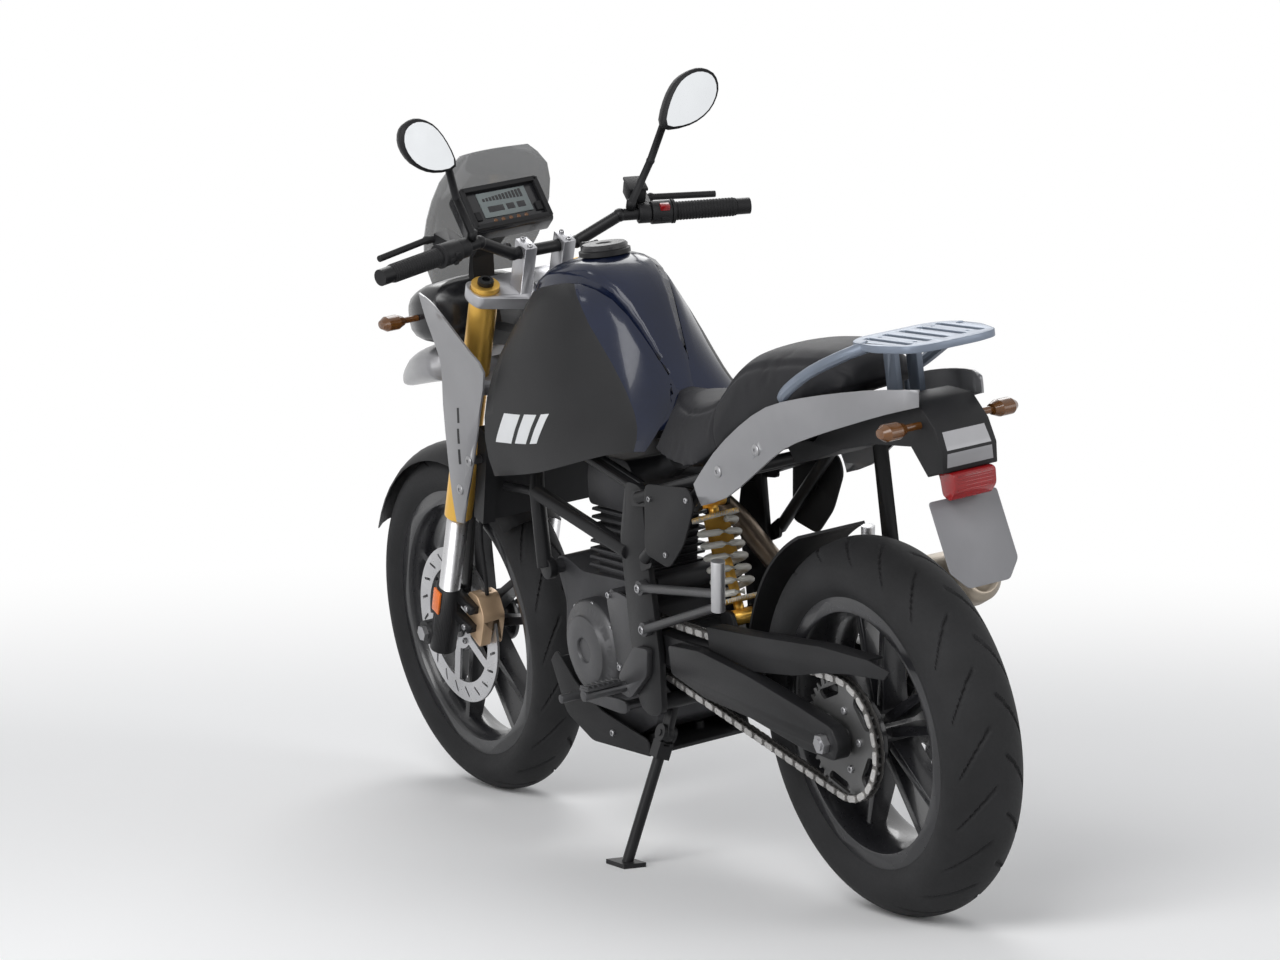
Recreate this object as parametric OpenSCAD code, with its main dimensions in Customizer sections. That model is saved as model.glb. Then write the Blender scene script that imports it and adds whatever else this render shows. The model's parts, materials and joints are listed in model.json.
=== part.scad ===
// Single-cylinder adventure motorcycle, parked leaning on its side stand.
// Bike frame while modelling: X forward, Y to the rider's left, Z up,
// with its zero on the ground midway between the axles. stance() then leans it.

/* [Stance] */
// Distance between the axles
wheelbase = 1420; // [1380:5:1460]
// Lean to the left on the side stand, degrees
lean = 8; // [6:0.5:10]
// Steering head angle from the vertical, degrees
rake = 26.7; // [25:0.1:28]
// Trail of the front tyre behind the steering axis
trail = 98; // [85:1:110]

/* [Front wheel] */
// Outer radius of the front tyre
front_tyre_r = 329; // [320:1:334]
// Width of the front tyre
front_tyre_w = 110; // [96:1:116]
// Height of the front tyre above its bead seat
front_tyre_h = 87.7; // [80:0.1:95]
// Width between the front rim's flanges
front_bead_w = 63.5; // [58:0.5:70]
// Radius of the front brake disc
front_disc_r = 150; // [140:1:155]
// Radius of the front axle
front_axle_r = 10; // [8:0.5:12]

/* [Rear wheel] */
// Outer radius of the rear tyre
rear_tyre_r = 321; // [312:1:326]
// Width of the rear tyre
rear_tyre_w = 150; // [136:1:156]
// Height of the rear tyre above its bead seat
rear_tyre_h = 105.1; // [95:0.1:112]
// Width between the rear rim's flanges
rear_bead_w = 101.6; // [92:0.1:108]
// Radius of the rear brake disc
rear_disc_r = 120; // [110:1:125]
// Radius of the rear axle
rear_axle_r = 10; // [8:0.5:12]

/* [Drive] */
// Pitch of the drive chain
chain_pitch = 15.875; // [15:0.005:16.5]
// Teeth on the rear sprocket
rear_teeth = 40; // [38:1:42]
// Teeth on the front sprocket
front_teeth = 16; // [15:1:17]
// Distance of the chain's centre line from the bike's middle
chain_y = 92; // [91:0.5:93]

/* [Fork and bars] */
// Distance of each fork leg from the middle
fork_y = 102; // [98:0.5:106]
// Offset of the fork legs ahead of the steering axis
fork_offset = 32; // [28:0.5:36]
// Radius of the upper fork tubes
fork_tube_r = 26; // [24:0.5:28]
// Radius of the fork stanchions
stanchion_r = 20.5; // [19:0.5:21]
// Length of the handlebar from end to end
handlebar_w = 710; // [690:5:760]
// Radius of the handlebar
handlebar_r = 11; // [10:0.5:12.5]

/* [Frame] */
// Radius of the main frame tubes
frame_tube_r = 14; // [12:0.5:16]
// Distance of the pivot plates' inner faces from the middle
plate_y = 115; // [114:0.5:117]
// Thickness of the pivot plates
plate_t = 12; // [10:0.5:14]
// Radius of the rear subframe tubes
subframe_tube_r = 11; // [9:0.5:12]

/* [Bodywork] */
// Thickness of the moulded panels
panel_t = 4; // [3:0.25:5]
// Width of the number plate
plate_w = 130; // [110:1:150]
// Height of the number plate
plate_h = 160; // [140:1:180]

/* [Stand] */
// Outward angle of the side stand from the bike's middle plane, degrees
stand_splay = 22.6; // [20:0.1:25]
// Forward angle of the side stand when it is down, degrees
stand_forward = 8; // [4:0.5:12]

/* [Hidden] */
$fn = 48;

// Clearances
seat_gap = 0.3;
shaft_gap = 0.05;

// Colours
dark_metal = [0.13, 0.13, 0.14];
black_plastic = [0.07, 0.07, 0.08];
panel_grey = [0.19, 0.19, 0.20];
silver_paint = [0.66, 0.67, 0.69];
bare_metal = [0.72, 0.72, 0.74];
fork_gold = [0.78, 0.56, 0.16];
caliper_gold = [0.70, 0.53, 0.36];
rubber_black = [0.09, 0.09, 0.10];

// Places of the wheels and the steering axis
front_axle = [wheelbase / 2, 0, front_tyre_r];
rear_axle = [-wheelbase / 2, 0, rear_tyre_r];
head_x = front_axle.x + trail;
front_bead_r = front_tyre_r - front_tyre_h;
rear_bead_r = rear_tyre_r - rear_tyre_h;
// The outlines are drawn for these places of the steering axis and the axles. The nose follows
// the steering axis, and the rear end of the swingarm its axle
drawn_head_x = 808;
drawn_rear = [-710, 321];
front_shift = [head_x - drawn_head_x, 0, 0];
rear_shift = [rear_axle.x - drawn_rear.x, rear_axle.z - drawn_rear.y];
arm_root_x = -225;
arm_stretch = 400;
function arm_fit(p) = p + rear_shift * min(max((arm_root_x - p.x) / arm_stretch, 0), 1);
function arm_line(pts) = [for (p = pts) arm_fit(p)];
crown_share = 0.52;
front_crown_r = front_tyre_w * crown_share;
rear_crown_r = rear_tyre_w * crown_share;
lift = rear_crown_r * (1 - cos(lean)) - 0.05;
origin_x = 8.13;
origin_y = -151.53;

// Helpers
function mix(a, b, t) = a + (b - a) * t;
function unit(v) = v / norm(v);
function bend(a, b, c, t) = mix(mix(a, b, t), mix(b, c, t), t);
function rounded(pts, r, n = 4) = [
    for (i = [0 : len(pts) - 1])
        let (p = pts[i], a = pts[(i + len(pts) - 1) % len(pts)], b = pts[(i + 1) % len(pts)],
             k = min(r, norm(a - p) * 0.45, norm(b - p) * 0.45))
        for (j = [0 : n]) bend(p + k * unit(a - p), p, p + k * unit(b - p), j / n)
];
// A smooth curve through the control values, with s steps between each two
function spline_at(c, i, t) =
    let (p0 = c[max(i - 1, 0)], p1 = c[i], p2 = c[i + 1], p3 = c[min(i + 2, len(c) - 1)])
    0.5 * (2 * p1 + (p2 - p0) * t + (2 * p0 - 5 * p1 + 4 * p2 - p3) * t * t
        + (3 * p1 - p0 - 3 * p2 + p3) * t * t * t);
function spline(c, s) = [
    for (i = [0 : len(c) - 2]) for (j = [0 : s - 1]) spline_at(c, i, j / s), c[len(c) - 1]
];
// Point of the steering frame (x ahead of the axis, y left, z along the axis) in the bike frame
function fork_pt(p) = [head_x + cos(rake) * p.x - sin(rake) * p.z, p.y, sin(rake) * p.x + cos(rake) * p.z];

module stance() translate([origin_x, origin_y, lift]) rotate([-lean, 0, 0]) children();
module nose() stance() translate(front_shift) children();
module fork_frame() translate([head_x, 0, 0]) rotate([0, -rake, 0]) children();
module both_sides() {
    children();
    mirror([0, 1, 0]) children();
}
// Prism with its outline in the side view, from y0 to y1
module slab(points, y0, y1) translate([0, y1, 0]) rotate([90, 0, 0]) linear_extrude(y1 - y0) polygon(points);
// Round bar across the bike
module cross_bar(x, z, y0, y1, r) translate([x, y0, z]) rotate([-90, 0, 0]) cylinder(h = y1 - y0, r = r);
// Round bar from point a to point b
module rod(a, b, r) {
    d = b - a;
    translate(a) rotate([0, acos(d.z / norm(d)), atan2(d.y, d.x)]) cylinder(h = norm(d), r = r);
}
// Bent tube with welded joints a little thicker than the tube
module tube_run(pts, r) {
    for (i = [0 : len(pts) - 2]) rod(pts[i], pts[i + 1], r);
    if (len(pts) > 2) for (i = [1 : len(pts) - 2]) translate(pts[i]) sphere(r = r + 1.5);
}
// Closed solid through rings of equally many points
module loft(rings) {
    n = len(rings[0]);
    m = len(rings);
    centre_0 = [for (k = [0 : 2]) sum_axis(rings[0], k) / n];
    centre_1 = [for (k = [0 : 2]) sum_axis(rings[m - 1], k) / n];
    points = [for (r = rings) each r, centre_0, centre_1];
    sides = [
        for (i = [0 : m - 2]) for (j = [0 : n - 1])
            let (a = i * n + j, b = i * n + (j + 1) % n, c = (i + 1) * n + (j + 1) % n, d = (i + 1) * n + j)
            each [[a, b, c], [a, c, d]]
    ];
    caps = [
        for (j = [0 : n - 1]) each
            [[m * n, (j + 1) % n, j], [m * n + 1, (m - 1) * n + j, (m - 1) * n + (j + 1) % n]]
    ];
    polyhedron(points, concat(sides, caps), convexity = 6);
}
function sum_axis(pts, k, i = 0) = i == len(pts) ? 0 : pts[i][k] + sum_axis(pts, k, i + 1);
// Closed solid between an outer and an inner grid of points
module shell_between(outer, inner) {
    m = len(outer);
    n = len(outer[0]);
    points = concat([for (r = outer) each r], [for (r = inner) each r]);
    o = m * n;
    faces_out = [
        for (i = [0 : m - 2]) for (j = [0 : n - 2])
            let (a = i * n + j, b = a + 1, c = a + n + 1, d = a + n) each [[a, c, b], [a, d, c]]
    ];
    faces_in = [for (f = faces_out) [f[2] + o, f[1] + o, f[0] + o]];
    edge = concat(
        [for (j = [0 : n - 2]) [j, j + 1]],
        [for (i = [0 : m - 2]) [i * n + n - 1, (i + 1) * n + n - 1]],
        [for (j = [n - 2 : -1 : 0]) [(m - 1) * n + j + 1, (m - 1) * n + j]],
        [for (i = [m - 2 : -1 : 0]) [(i + 1) * n, i * n]]
    );
    rim = [for (e = edge) each [[e[0], e[1], e[0] + o], [e[1], e[1] + o, e[0] + o]]];
    polyhedron(points, concat(faces_out, faces_in, rim), convexity = 6);
}
// Side line of a station [top point, pull of the side, low point, ...] at share t from its top
function side_at(st, t) =
    [mix(st[0].x, st[2].x, t), bend(st[0].y, st[1], st[2].y, t), mix(st[0].z, st[2].z, t)];
// Stations with a smooth run between them
function between(stations, s) =
    let (cols = [for (k = [0 : len(stations[0]) - 1]) spline([for (q = stations) q[k]], s)])
    [for (i = [0 : len(cols[0]) - 1]) [for (c = cols) c[i]]];
// Panel along the stations' side lines, thickened towards the bike's middle
module side_panel(stations, s = 2, n = 5, start = 0, t = panel_t) {
    g = [for (st = between(stations, s)) [for (j = [0 : n]) side_at(st, mix(start, 1, j / n))]];
    shell_between(g, [for (r = g) [for (p = r) p - [0, t, 0]]]);
}
// Saddle-shaped solid of stations [edge point, pull, low point, crown height, floor height], its sides inset
crease_share = 0.02;
function saddle_ring(st, inset, n) =
    let (share = (st[0].z - st[4]) / (st[0].z - st[2].z), e = st[0], c = st[3],
         steps = concat([for (j = [n : -1 : 1]) share * j / n], [crease_share]),
         left = [for (t = steps) side_at(st, t) - [0, inset, 0]],
         over = [e, [e.x, e.y * 0.7, mix(e.z, c, 0.72)], [e.x, e.y * 0.35, mix(e.z, c, 0.95)]])
    concat(left, over, [[e.x, 0, c]], [for (k = [2 : -1 : 0]) [over[k].x, -over[k].y, over[k].z]],
        [for (k = [n : -1 : 0]) [left[k].x, -left[k].y, left[k].z]]);
module saddle_loft(stations, s = 2, n = 6, inset = 0)
    loft([for (st = between(stations, s)) saddle_ring(st, inset, n)]);
// Rounded cross-section ring: station [x, top, bottom, half width, shear]
function body_ring(st, n, power) = [
    for (j = [0 : n - 1])
        let (a = 360 * j / n, c = cos(a), s = sin(a), zm = (st[1] + st[2]) / 2, zh = (st[1] - st[2]) / 2,
             y = st[3] * sign(c) * pow(abs(c), power), z = zm + zh * sign(s) * pow(abs(s), power))
        [st[0] + st[4] * (z - st[2]), y, z]
];
module body_loft(stations, s, n, power)
    loft([for (st = spline(stations, s)) body_ring(st, n, power)]);
// Hose through the points, as one swept tube
function hose_ring(pts, i, r, n) =
    let (d = unit(pts[min(i + 1, len(pts) - 1)] - pts[max(i - 1, 0)]),
         side = unit(cross(d, abs(d.y) < 0.9 ? [0, 1, 0] : [1, 0, 0])), up = cross(side, d))
    [for (j = [0 : n - 1]) pts[i] + r * (cos(360 * j / n) * side + sin(360 * j / n) * up)];
module hose(pts, r, n = 8) loft([for (i = [0 : len(pts) - 1]) hose_ring(pts, i, r, n)]);

// Wheels
flange_h = 14;
flange_t = 6;
function tyre_outline(r, w, rc, bead_r, bead_w) =
    let (a = 60, h = w / 2, sr = r - rc + rc * cos(a), sy = rc * sin(a), fr = bead_r + flange_h + seat_gap,
         fy = bead_w / 2 + flange_t, by = bead_w / 2 - seat_gap,
         side = [for (j = [1 : 5]) bend([sr, sy], [mix(fr, sr, 0.45), h * 1.07], [fr, fy], j / 5)])
    concat(
        [for (j = [-6 : 6]) [r - rc + rc * cos(a * j / 6), rc * sin(a * j / 6)]],
        side,
        [[fr, by], [bead_r + seat_gap, by], [bead_r + seat_gap, -by], [fr, -by]],
        [for (j = [4 : -1 : 0]) [side[j].x, -side[j].y]]
    );
module turned(profile) rotate([-90, 0, 0]) rotate_extrude($fn = 96) polygon(profile);
module barrel(bead_r, bead_w) {
    h = bead_w / 2;
    f = h + flange_t;
    top = bead_r + flange_h;
    turned([
        [bead_r - 12, -f], [top, -f], [top, -h], [bead_r, -h], [bead_r, h], [top, h], [top, f],
        [bead_r - 12, f], [bead_r - 18, h - 10], [bead_r - 26, 10], [bead_r - 26, -10], [bead_r - 18, 10 - h]
    ]);
}
spoke_pairs = 5;
module spokes(hub_r, rim_r, thick) {
    root_a = 19;
    tip_a = 11;
    root_w = 9;
    tip_w = 7;
    intersection() {
        union() for (k = [0 : spoke_pairs - 1]) for (m = [-1, 1]) rotate([0, 360 * k / spoke_pairs, 0]) {
            p = hub_r * [sin(m * root_a), cos(root_a)];
            q = rim_r * [sin(m * tip_a), cos(tip_a)];
            n = unit([q.y - p.y, p.x - q.x]);
            slab([p + root_w * n, q + tip_w * n, q - tip_w * n, p - root_w * n], -thick, thick);
        }
        turned([[hub_r * 0.6, -thick], [hub_r * 1.4, -thick], [rim_r + 9, -thick * 0.62],
            [rim_r + 9, thick * 0.62], [hub_r * 1.4, thick], [hub_r * 0.6, thick]]);
    }
}
hub_neck_r = 24;
front_hub_half = 58;
module front_rim() color(dark_metal) stance() translate(front_axle) {
    barrel(front_bead_r, front_bead_w);
    bore = front_axle_r + shaft_gap;
    turned([
        [bore, -front_hub_half], [hub_neck_r, -front_hub_half], [hub_neck_r, -50], [50, -50], [50, -42],
        [36, -34], [36, 34], [50, 42], [50, 50], [hub_neck_r, 50], [hub_neck_r, front_hub_half],
        [bore, front_hub_half]
    ]);
    spokes(30, front_bead_r - 18, 24);
}
module front_tyre() color(rubber_black) stance() translate(front_axle)
    turned(tyre_outline(front_tyre_r, front_tyre_w, front_crown_r, front_bead_r, front_bead_w));
// Brake disc with a slotted ring and arms to its hub
module disc_plan(r, ring_w, bore_r, hub_r) {
    arms = 5;
    slots = 20;
    slot = ring_w * 0.3;
    difference() {
        circle(r = r, $fn = 96);
        circle(r = r - ring_w, $fn = 96);
        for (k = [0 : slots - 1]) rotate(360 * k / slots) translate([r - ring_w / 2, 0])
            rotate(35) polygon(rounded([[-slot, -2.5], [slot, -2.5], [slot, 2.5], [-slot, 2.5]], 2.4, 3));
    }
    difference() {
        union() {
            circle(r = hub_r, $fn = 64);
            for (k = [0 : arms - 1]) rotate(360 * k / arms) translate([0, -10]) square([r - ring_w + 3, 20]);
        }
        circle(r = bore_r, $fn = 64);
    }
}
disc_t = 4.8;
disc_hub_r = 46;
module disc_at(y0, r, ring_w) translate([0, y0, 0]) rotate([-90, 0, 0])
    linear_extrude(disc_t) disc_plan(r, ring_w, hub_neck_r + seat_gap, disc_hub_r);
front_disc_y = 50.2;
rear_disc_y = -84.6;
module front_disc() color(bare_metal) stance() translate(front_axle) disc_at(front_disc_y, front_disc_r, 38);
module rear_disc() color(bare_metal) stance() translate(rear_axle) disc_at(rear_disc_y, rear_disc_r, 32);
sprocket_t = 6;
sprocket_face = chain_y - sprocket_t / 2;
module rear_rim() color(dark_metal) stance() translate(rear_axle) {
    barrel(rear_bead_r, rear_bead_w);
    bore = rear_axle_r + shaft_gap;
    disc_face = rear_disc_y + disc_t + seat_gap;
    carrier_face = sprocket_face - seat_gap;
    turned([
        [bore, -88], [hub_neck_r, -88], [hub_neck_r, disc_face], [52, disc_face], [52, -70], [40, -58],
        [40, 42], [72, 54], [72, carrier_face], [hub_neck_r, carrier_face], [hub_neck_r, 96], [bore, 96]
    ]);
    spokes(34, rear_bead_r - 18, 25);
}
module rear_tyre() color(rubber_black) stance() translate(rear_axle)
    turned(tyre_outline(rear_tyre_r, rear_tyre_w, rear_crown_r, rear_bead_r, rear_bead_w));
rear_pitch_r = chain_pitch / 2 / sin(180 / rear_teeth);
front_pitch_r = chain_pitch / 2 / sin(180 / front_teeth);
tooth_h = 4;
tooth = [[-0.32, -6], [-0.1, tooth_h], [0.1, tooth_h], [0.32, -6]];
module rear_sprocket() color(bare_metal) stance() translate(rear_axle + [0, sprocket_face, 0])
    rotate([-90, 0, 0]) linear_extrude(sprocket_t) difference() {
        polygon([for (k = [0 : rear_teeth - 1]) for (q = tooth)
            (rear_pitch_r + q.y) * polar(360 * (k + q.x) / rear_teeth)]);
        circle(r = hub_neck_r + seat_gap);
        for (k = [0 : 4]) rotate(72 * k) translate([rear_pitch_r * 0.79, 0])
            polygon(rounded([[-9, -26], [9, -34], [9, 34], [-9, 26]], 8));
    }

// Chain loop round the two sprockets
engine_sprocket = [-50, 418];
chain_rear = [rear_axle.x, rear_axle.z];
chain_span = norm(engine_sprocket - chain_rear);
chain_slope = atan2(engine_sprocket.y - chain_rear.y, engine_sprocket.x - chain_rear.x);
chain_wrap = acos((rear_pitch_r - front_pitch_r) / chain_span);
chain_run = chain_span * sin(chain_wrap);
rear_wrap_len = rear_pitch_r * (360 - 2 * chain_wrap) * PI / 180;
front_wrap_len = front_pitch_r * 2 * chain_wrap * PI / 180;
chain_len = 2 * chain_run + rear_wrap_len + front_wrap_len;
links = 2 * round(chain_len / chain_pitch / 2);
function polar(a) = [cos(a), sin(a)];
function chain_angle(s) =
    s < chain_run ? chain_slope + chain_wrap :
    s < chain_run + rear_wrap_len ? chain_slope + chain_wrap + (s - chain_run) / rear_pitch_r * 180 / PI :
    s < 2 * chain_run + rear_wrap_len ? chain_slope - chain_wrap :
    chain_slope - chain_wrap + (s - 2 * chain_run - rear_wrap_len) / front_pitch_r * 180 / PI;
function chain_at(s) =
    s < chain_run ? mix(engine_sprocket + front_pitch_r * polar(chain_slope + chain_wrap),
        chain_rear + rear_pitch_r * polar(chain_slope + chain_wrap), s / chain_run) :
    s < chain_run + rear_wrap_len ? chain_rear + rear_pitch_r * polar(chain_angle(s)) :
    s < 2 * chain_run + rear_wrap_len ? mix(chain_rear + rear_pitch_r * polar(chain_slope - chain_wrap),
        engine_sprocket + front_pitch_r * polar(chain_slope - chain_wrap),
        (s - chain_run - rear_wrap_len) / chain_run) :
    engine_sprocket + front_pitch_r * polar(chain_angle(s));
link_edge = [7.2, 5.6];
function chain_outline(side) = [for (k = [0 : 2 * links - 1])
    let (s = chain_len * k / (2 * links)) chain_at(s) + side * link_edge[k % 2] * polar(chain_angle(s))];
chain_gap = 4;
chain_plate_t = 3;
roller_r = 5;
// Rollers sit on the two straight runs, clear of the sprockets' teeth
function on_run(s) =
    let (low_run = chain_run + rear_wrap_len, near = chain_pitch * 1.5, far = chain_pitch * 3.4)
    (s > near && s < chain_run - far) || (s > low_run + far && s < low_run + chain_run - near);
module chain() color(bare_metal) stance() {
    for (y = [chain_y + chain_gap, chain_y - chain_gap - chain_plate_t])
        translate([0, y + chain_plate_t, 0]) rotate([90, 0, 0]) linear_extrude(chain_plate_t) difference() {
            polygon(chain_outline(1));
            polygon(chain_outline(-1));
        }
    for (k = [0 : links - 1]) {
        s = chain_len * k / links;
        p = chain_at(s);
        if (on_run(s)) cross_bar(p.x, p.y, chain_y - chain_gap, chain_y + chain_gap, roller_r, $fn = 16);
    }
}

// Main frame
head_low = 937.5;
head_high = 1089;
head_r = 30;
stem_r = 21.7;
frame_top = [fork_pt([-18, 16, 1050]), [110, 122, 770], [-170, 112, 690]];
frame_low = [fork_pt([-18, 16, 1000]), [250, 95, 640], [224, 112, 507]];
frame_side = [[250, 95, 640], [-110, 121, 575]];
pivot_plate = [
    [-192, 700], [-140, 706], [-96, 600], [-88, 420], [-92, 300], [-120, 284], [-168, 290], [-184, 400],
    [-182, 560]
];
swing_pivot = [-140, 415];
stand_pivot = [-140, 108, 250];
stand_lug_t = 6;
stand_pin_r = 6;
engine_rear_top = [-108, 508];
engine_rear_low = [-112, 300];
engine_front = [222, 505];
front_lug_y = 97;
upper_cross = [-158, 672];
lower_cross = [-150, 308];
shock_lug = [[-168, 690], [-150, 660], [-196, 636], [-218, 640], [-214, 668]];
shock_lug_y = 24;
tank_rest_x = -20;
tank_bar_z = 768;
tank_rest_z = 814.2;
module main_frame() color(dark_metal) stance() {
    difference() {
        union() {
            fork_frame() translate([0, 0, head_low]) cylinder(h = head_high - head_low, r = head_r);
            both_sides() {
                tube_run(frame_top, frame_tube_r);
                tube_run(frame_low, frame_tube_r);
                tube_run(frame_side, frame_tube_r);
                slab(rounded(pivot_plate, 18), plate_y, plate_y + plate_t);
                cross_bar(engine_front.x, engine_front.y, front_lug_y, 112, 20);
            }
            for (c = [upper_cross, lower_cross]) cross_bar(c.x, c.y, -plate_y - 1, plate_y + 1, frame_tube_r);
            cross_bar(tank_rest_x, tank_bar_z, -112, 112, frame_tube_r);
            both_sides() {
                rod([tank_rest_x, 40, tank_bar_z], [tank_rest_x, 40, tank_rest_z], 12);
                rod([tank_rest_x, 106, tank_bar_z], [20, 122, 744], 10);
            }
            translate(stand_pivot) rotate([stand_splay, 0, 0]) {
                cross_bar(0, 0, -stand_lug_t, stand_lug_t, 17);
                translate([-13, -stand_lug_t, 0]) cube([24, 2 * stand_lug_t, 62]);
            }
            // Shock mount under the cross bar
            both_sides() slab(rounded(shock_lug, 8), shock_lug_y, shock_lug_y + 8);
        }
        fork_frame() translate([0, 0, head_low - 5])
            cylinder(h = head_high - head_low + 10, r = stem_r + seat_gap);
        translate(stand_pivot) rotate([stand_splay, 0, 0]) cross_bar(0, 0, -20, 20, stand_pin_r + shaft_gap);
    }
}
sub_lug_y = plate_y + plate_t + seat_gap;
sub_rail = [[-200, 138.5, 683.4], [-450, 118, 745], [-700, 92, 835]];
sub_strut = [[-196, 138.5, 575.5], [-430, 119.1, 740]];
sub_lugs = [
    [[-224, 700], [-165, 690], [-160, 664], [-222, 668]],
    [[-214, 598], [-168, 574], [-166, 548], [-206, 560]]
];
sub_lug_t = 6;
tail_bar = [-640, 817.5];
seat_post_x = -365;
seat_post_z = 745.6;
seat_bar_z = 724;
module rear_subframe() color(dark_metal) stance() {
    both_sides() {
        tube_run(sub_rail, subframe_tube_r);
        rod(sub_strut[0], sub_strut[1], subframe_tube_r);
        for (lug = sub_lugs) slab(rounded(lug, 8), sub_lug_y, sub_lug_y + sub_lug_t);
    }
    cross_bar(sub_rail[1].x, sub_rail[1].z, -114, 114, subframe_tube_r);
    cross_bar(seat_post_x, seat_bar_z, -124, 124, subframe_tube_r);
    both_sides() rod([seat_post_x, 30, seat_bar_z], [seat_post_x, 30, seat_post_z], 10);
    cross_bar(tail_bar.x, tail_bar.y, -96, 96, subframe_tube_r);
}

// Engine
case_outline = [
    [-78, 330], [-92, 284], [-128, 286], [-128, 314], [-96, 330], [-92, 400], [-86, 470], [-124, 492],
    [-124, 522], [-90, 526], [-30, 502], [150, 502], [206, 524], [238, 520], [238, 488], [222, 440],
    [242, 360], [228, 280], [160, 216], [20, 216], [-60, 250]
];
barrel_outline = [[-20, 500], [118, 500], [76, 634], [-60, 630]];
head_outline = [[-72, 626], [92, 632], [84, 690], [60, 728], [-66, 724], [-86, 690]];
sprocket_cover = [[-98, 372], [-60, 350], [0, 346], [14, 480], [-20, 492], [-92, 478]];
alternator_profile = [[0, -2], [90, -2], [90, 24], [84, 32], [64, 36], [62, 44], [24, 46], [22, 41], [0, 41]];
clutch_profile = [[0, 2], [98, 2], [98, -16], [90, -24], [60, -28], [0, -29]];
fin_rise = 15;
fin_lean = 5;
fins = 8;
fin_outline = [[-28, 510], [128, 514], [124, 520], [-32, 516]];
case_left = 78;
case_right = -95;
alternator = [95, 372];
clutch = [40, 385];
port = [-104, -44, 655];
module engine() color([0.22, 0.22, 0.23]) stance() {
    slab(rounded(case_outline, 12), case_right, case_left);
    for (c = [engine_rear_top, engine_rear_low])
        cross_bar(c.x, c.y, -plate_y + seat_gap, plate_y - seat_gap, 13);
    cross_bar(engine_front.x, engine_front.y, -front_lug_y + seat_gap, front_lug_y - seat_gap, 13);
    for (k = [0 : fins - 1]) slab(rounded([for (p = fin_outline) p + k * [-fin_lean, fin_rise]], 2), -74, 74);
    slab(barrel_outline, -62, 62);
    slab(rounded(head_outline, 14), -78, 78);
    translate([alternator.x, case_left, alternator.y]) turned(alternator_profile);
    translate([clutch.x, case_right, clutch.y]) turned(clutch_profile);
    // Sprocket cover on two posts
    slab(rounded(sprocket_cover, 16), 103, 110);
    for (c = [[2, 482], [-8, 352]]) cross_bar(c.x, c.y, 70, 104, 9);
    // Intake stub and the exhaust port
    rod([-70, 0, 700], [-120, 0, 722], 24);
    rod([-60, port.y, port.z], port, 23);
}
skid_floor = [[256, 334], [262, 330], [226, 236], [140, 196], [-64, 196], [-64, 202]];
skid_side = [[262, 330], [226, 236], [140, 196], [-64, 196], [-64, 226], [96, 258], [180, 300], [236, 352]];
skid_half = 104;
module skid_plate() color([0.20, 0.20, 0.21]) stance() {
    slab(concat(rounded(skid_floor, 20, 5), [[140, 202], [218, 242]]), -skid_half, skid_half);
    both_sides() slab(rounded(skid_side, 12), skid_half - 4, skid_half);
    for (x = [20, 120]) for (y = [-50, 50]) translate([x, y, 200]) cylinder(h = 15.7, r = 9);
}
radiator_c = [370, 0, 668];
radiator_tilt = -20;
radiator_h = 176;
core_w = 236;
core_t = 28;
tank_w = 26;
fin_slots = 13;
module radiator() color([0.10, 0.10, 0.11]) nose() {
    slot_step = radiator_h / (fin_slots + 1);
    translate(radiator_c) rotate([0, radiator_tilt, 0]) {
        difference() {
            translate([-core_t / 2, -core_w / 2, -radiator_h / 2]) cube([core_t, core_w, radiator_h]);
            for (k = [1 : fin_slots])
                translate([core_t / 4, 6 - core_w / 2, (k - 0.3) * slot_step - radiator_h / 2])
                    cube([core_t / 2, core_w - 12, slot_step * 0.6]);
        }
        both_sides() translate([-core_t / 2 - 3, core_w / 2 - 2, -radiator_h / 2 - 4])
            cube([core_t + 6, tank_w, radiator_h + 8]);
    }
    both_sides() rod([268.2, 95, 640] - front_shift, [376, 95, 640], 8);
}

// Tank with its side panels. Stations: crease, pull of the side, panel's lower edge, crown and floor heights
tank_form = [
    [[228, 66, 992], 215, [296, 152, 676], 1004, 940],
    [[172, 80, 1028], 200, [196, 166, 690], 1050, 880],
    [[100, 82, 1044], 192, [80, 176, 708], 1066, 842],
    [[20, 76, 1048], 166, [-30, 178, 732], 1068, 815],
    [[-50, 58, 1018], 112, [-112, 172, 750], 1034, 815],
    [[-100, 40, 956], 86, [-172, 160, 762], 968, 804],
    [[-136, 28, 898], 66, [-208, 148, 766], 906, 798],
    [[-160, 20, 852], 60, [-232, 136, 766], 858, 792]
];
tank_gap = 2;
module fuel_tank() color([0.03, 0.035, 0.06]) stance() saddle_loft(tank_form, 2, 6, panel_t + tank_gap);
// Each panel stands on a boss 0.3 mm from the frame's top tube
panel_boss = [40, 750];
module tank_panels() color(panel_grey) stance() both_sides() {
    side_panel(tank_form, 2, 8, 0.05);
    cross_bar(panel_boss.x, panel_boss.y, 134.1, 175.5, 8);
}
cap_c = [62, 0, 1069.4];
cap_hinge = [52, 14];
module filler_ring() color(dark_metal) stance() translate(cap_c) {
    rotate_extrude() polygon([[30, 0], [46, 0], [46, 8], [42, 10], [30, 10]]);
    translate([40, -16, 0]) cube([17, 32, 6]);
    both_sides() {
        cross_bar(cap_hinge.x, cap_hinge.y, 10.3, 16, 6);
        translate([cap_hinge.x - 6, 10.3, 0]) cube([12, 5.7, cap_hinge.y]);
    }
    cross_bar(cap_hinge.x, cap_hinge.y, -14, 14, 2.5, $fn = 24);
}
lid_profile = [[0, 0], [42, 0], [42, 5], [38, 9], [14, 9], [12, 7], [0, 7]];
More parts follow.
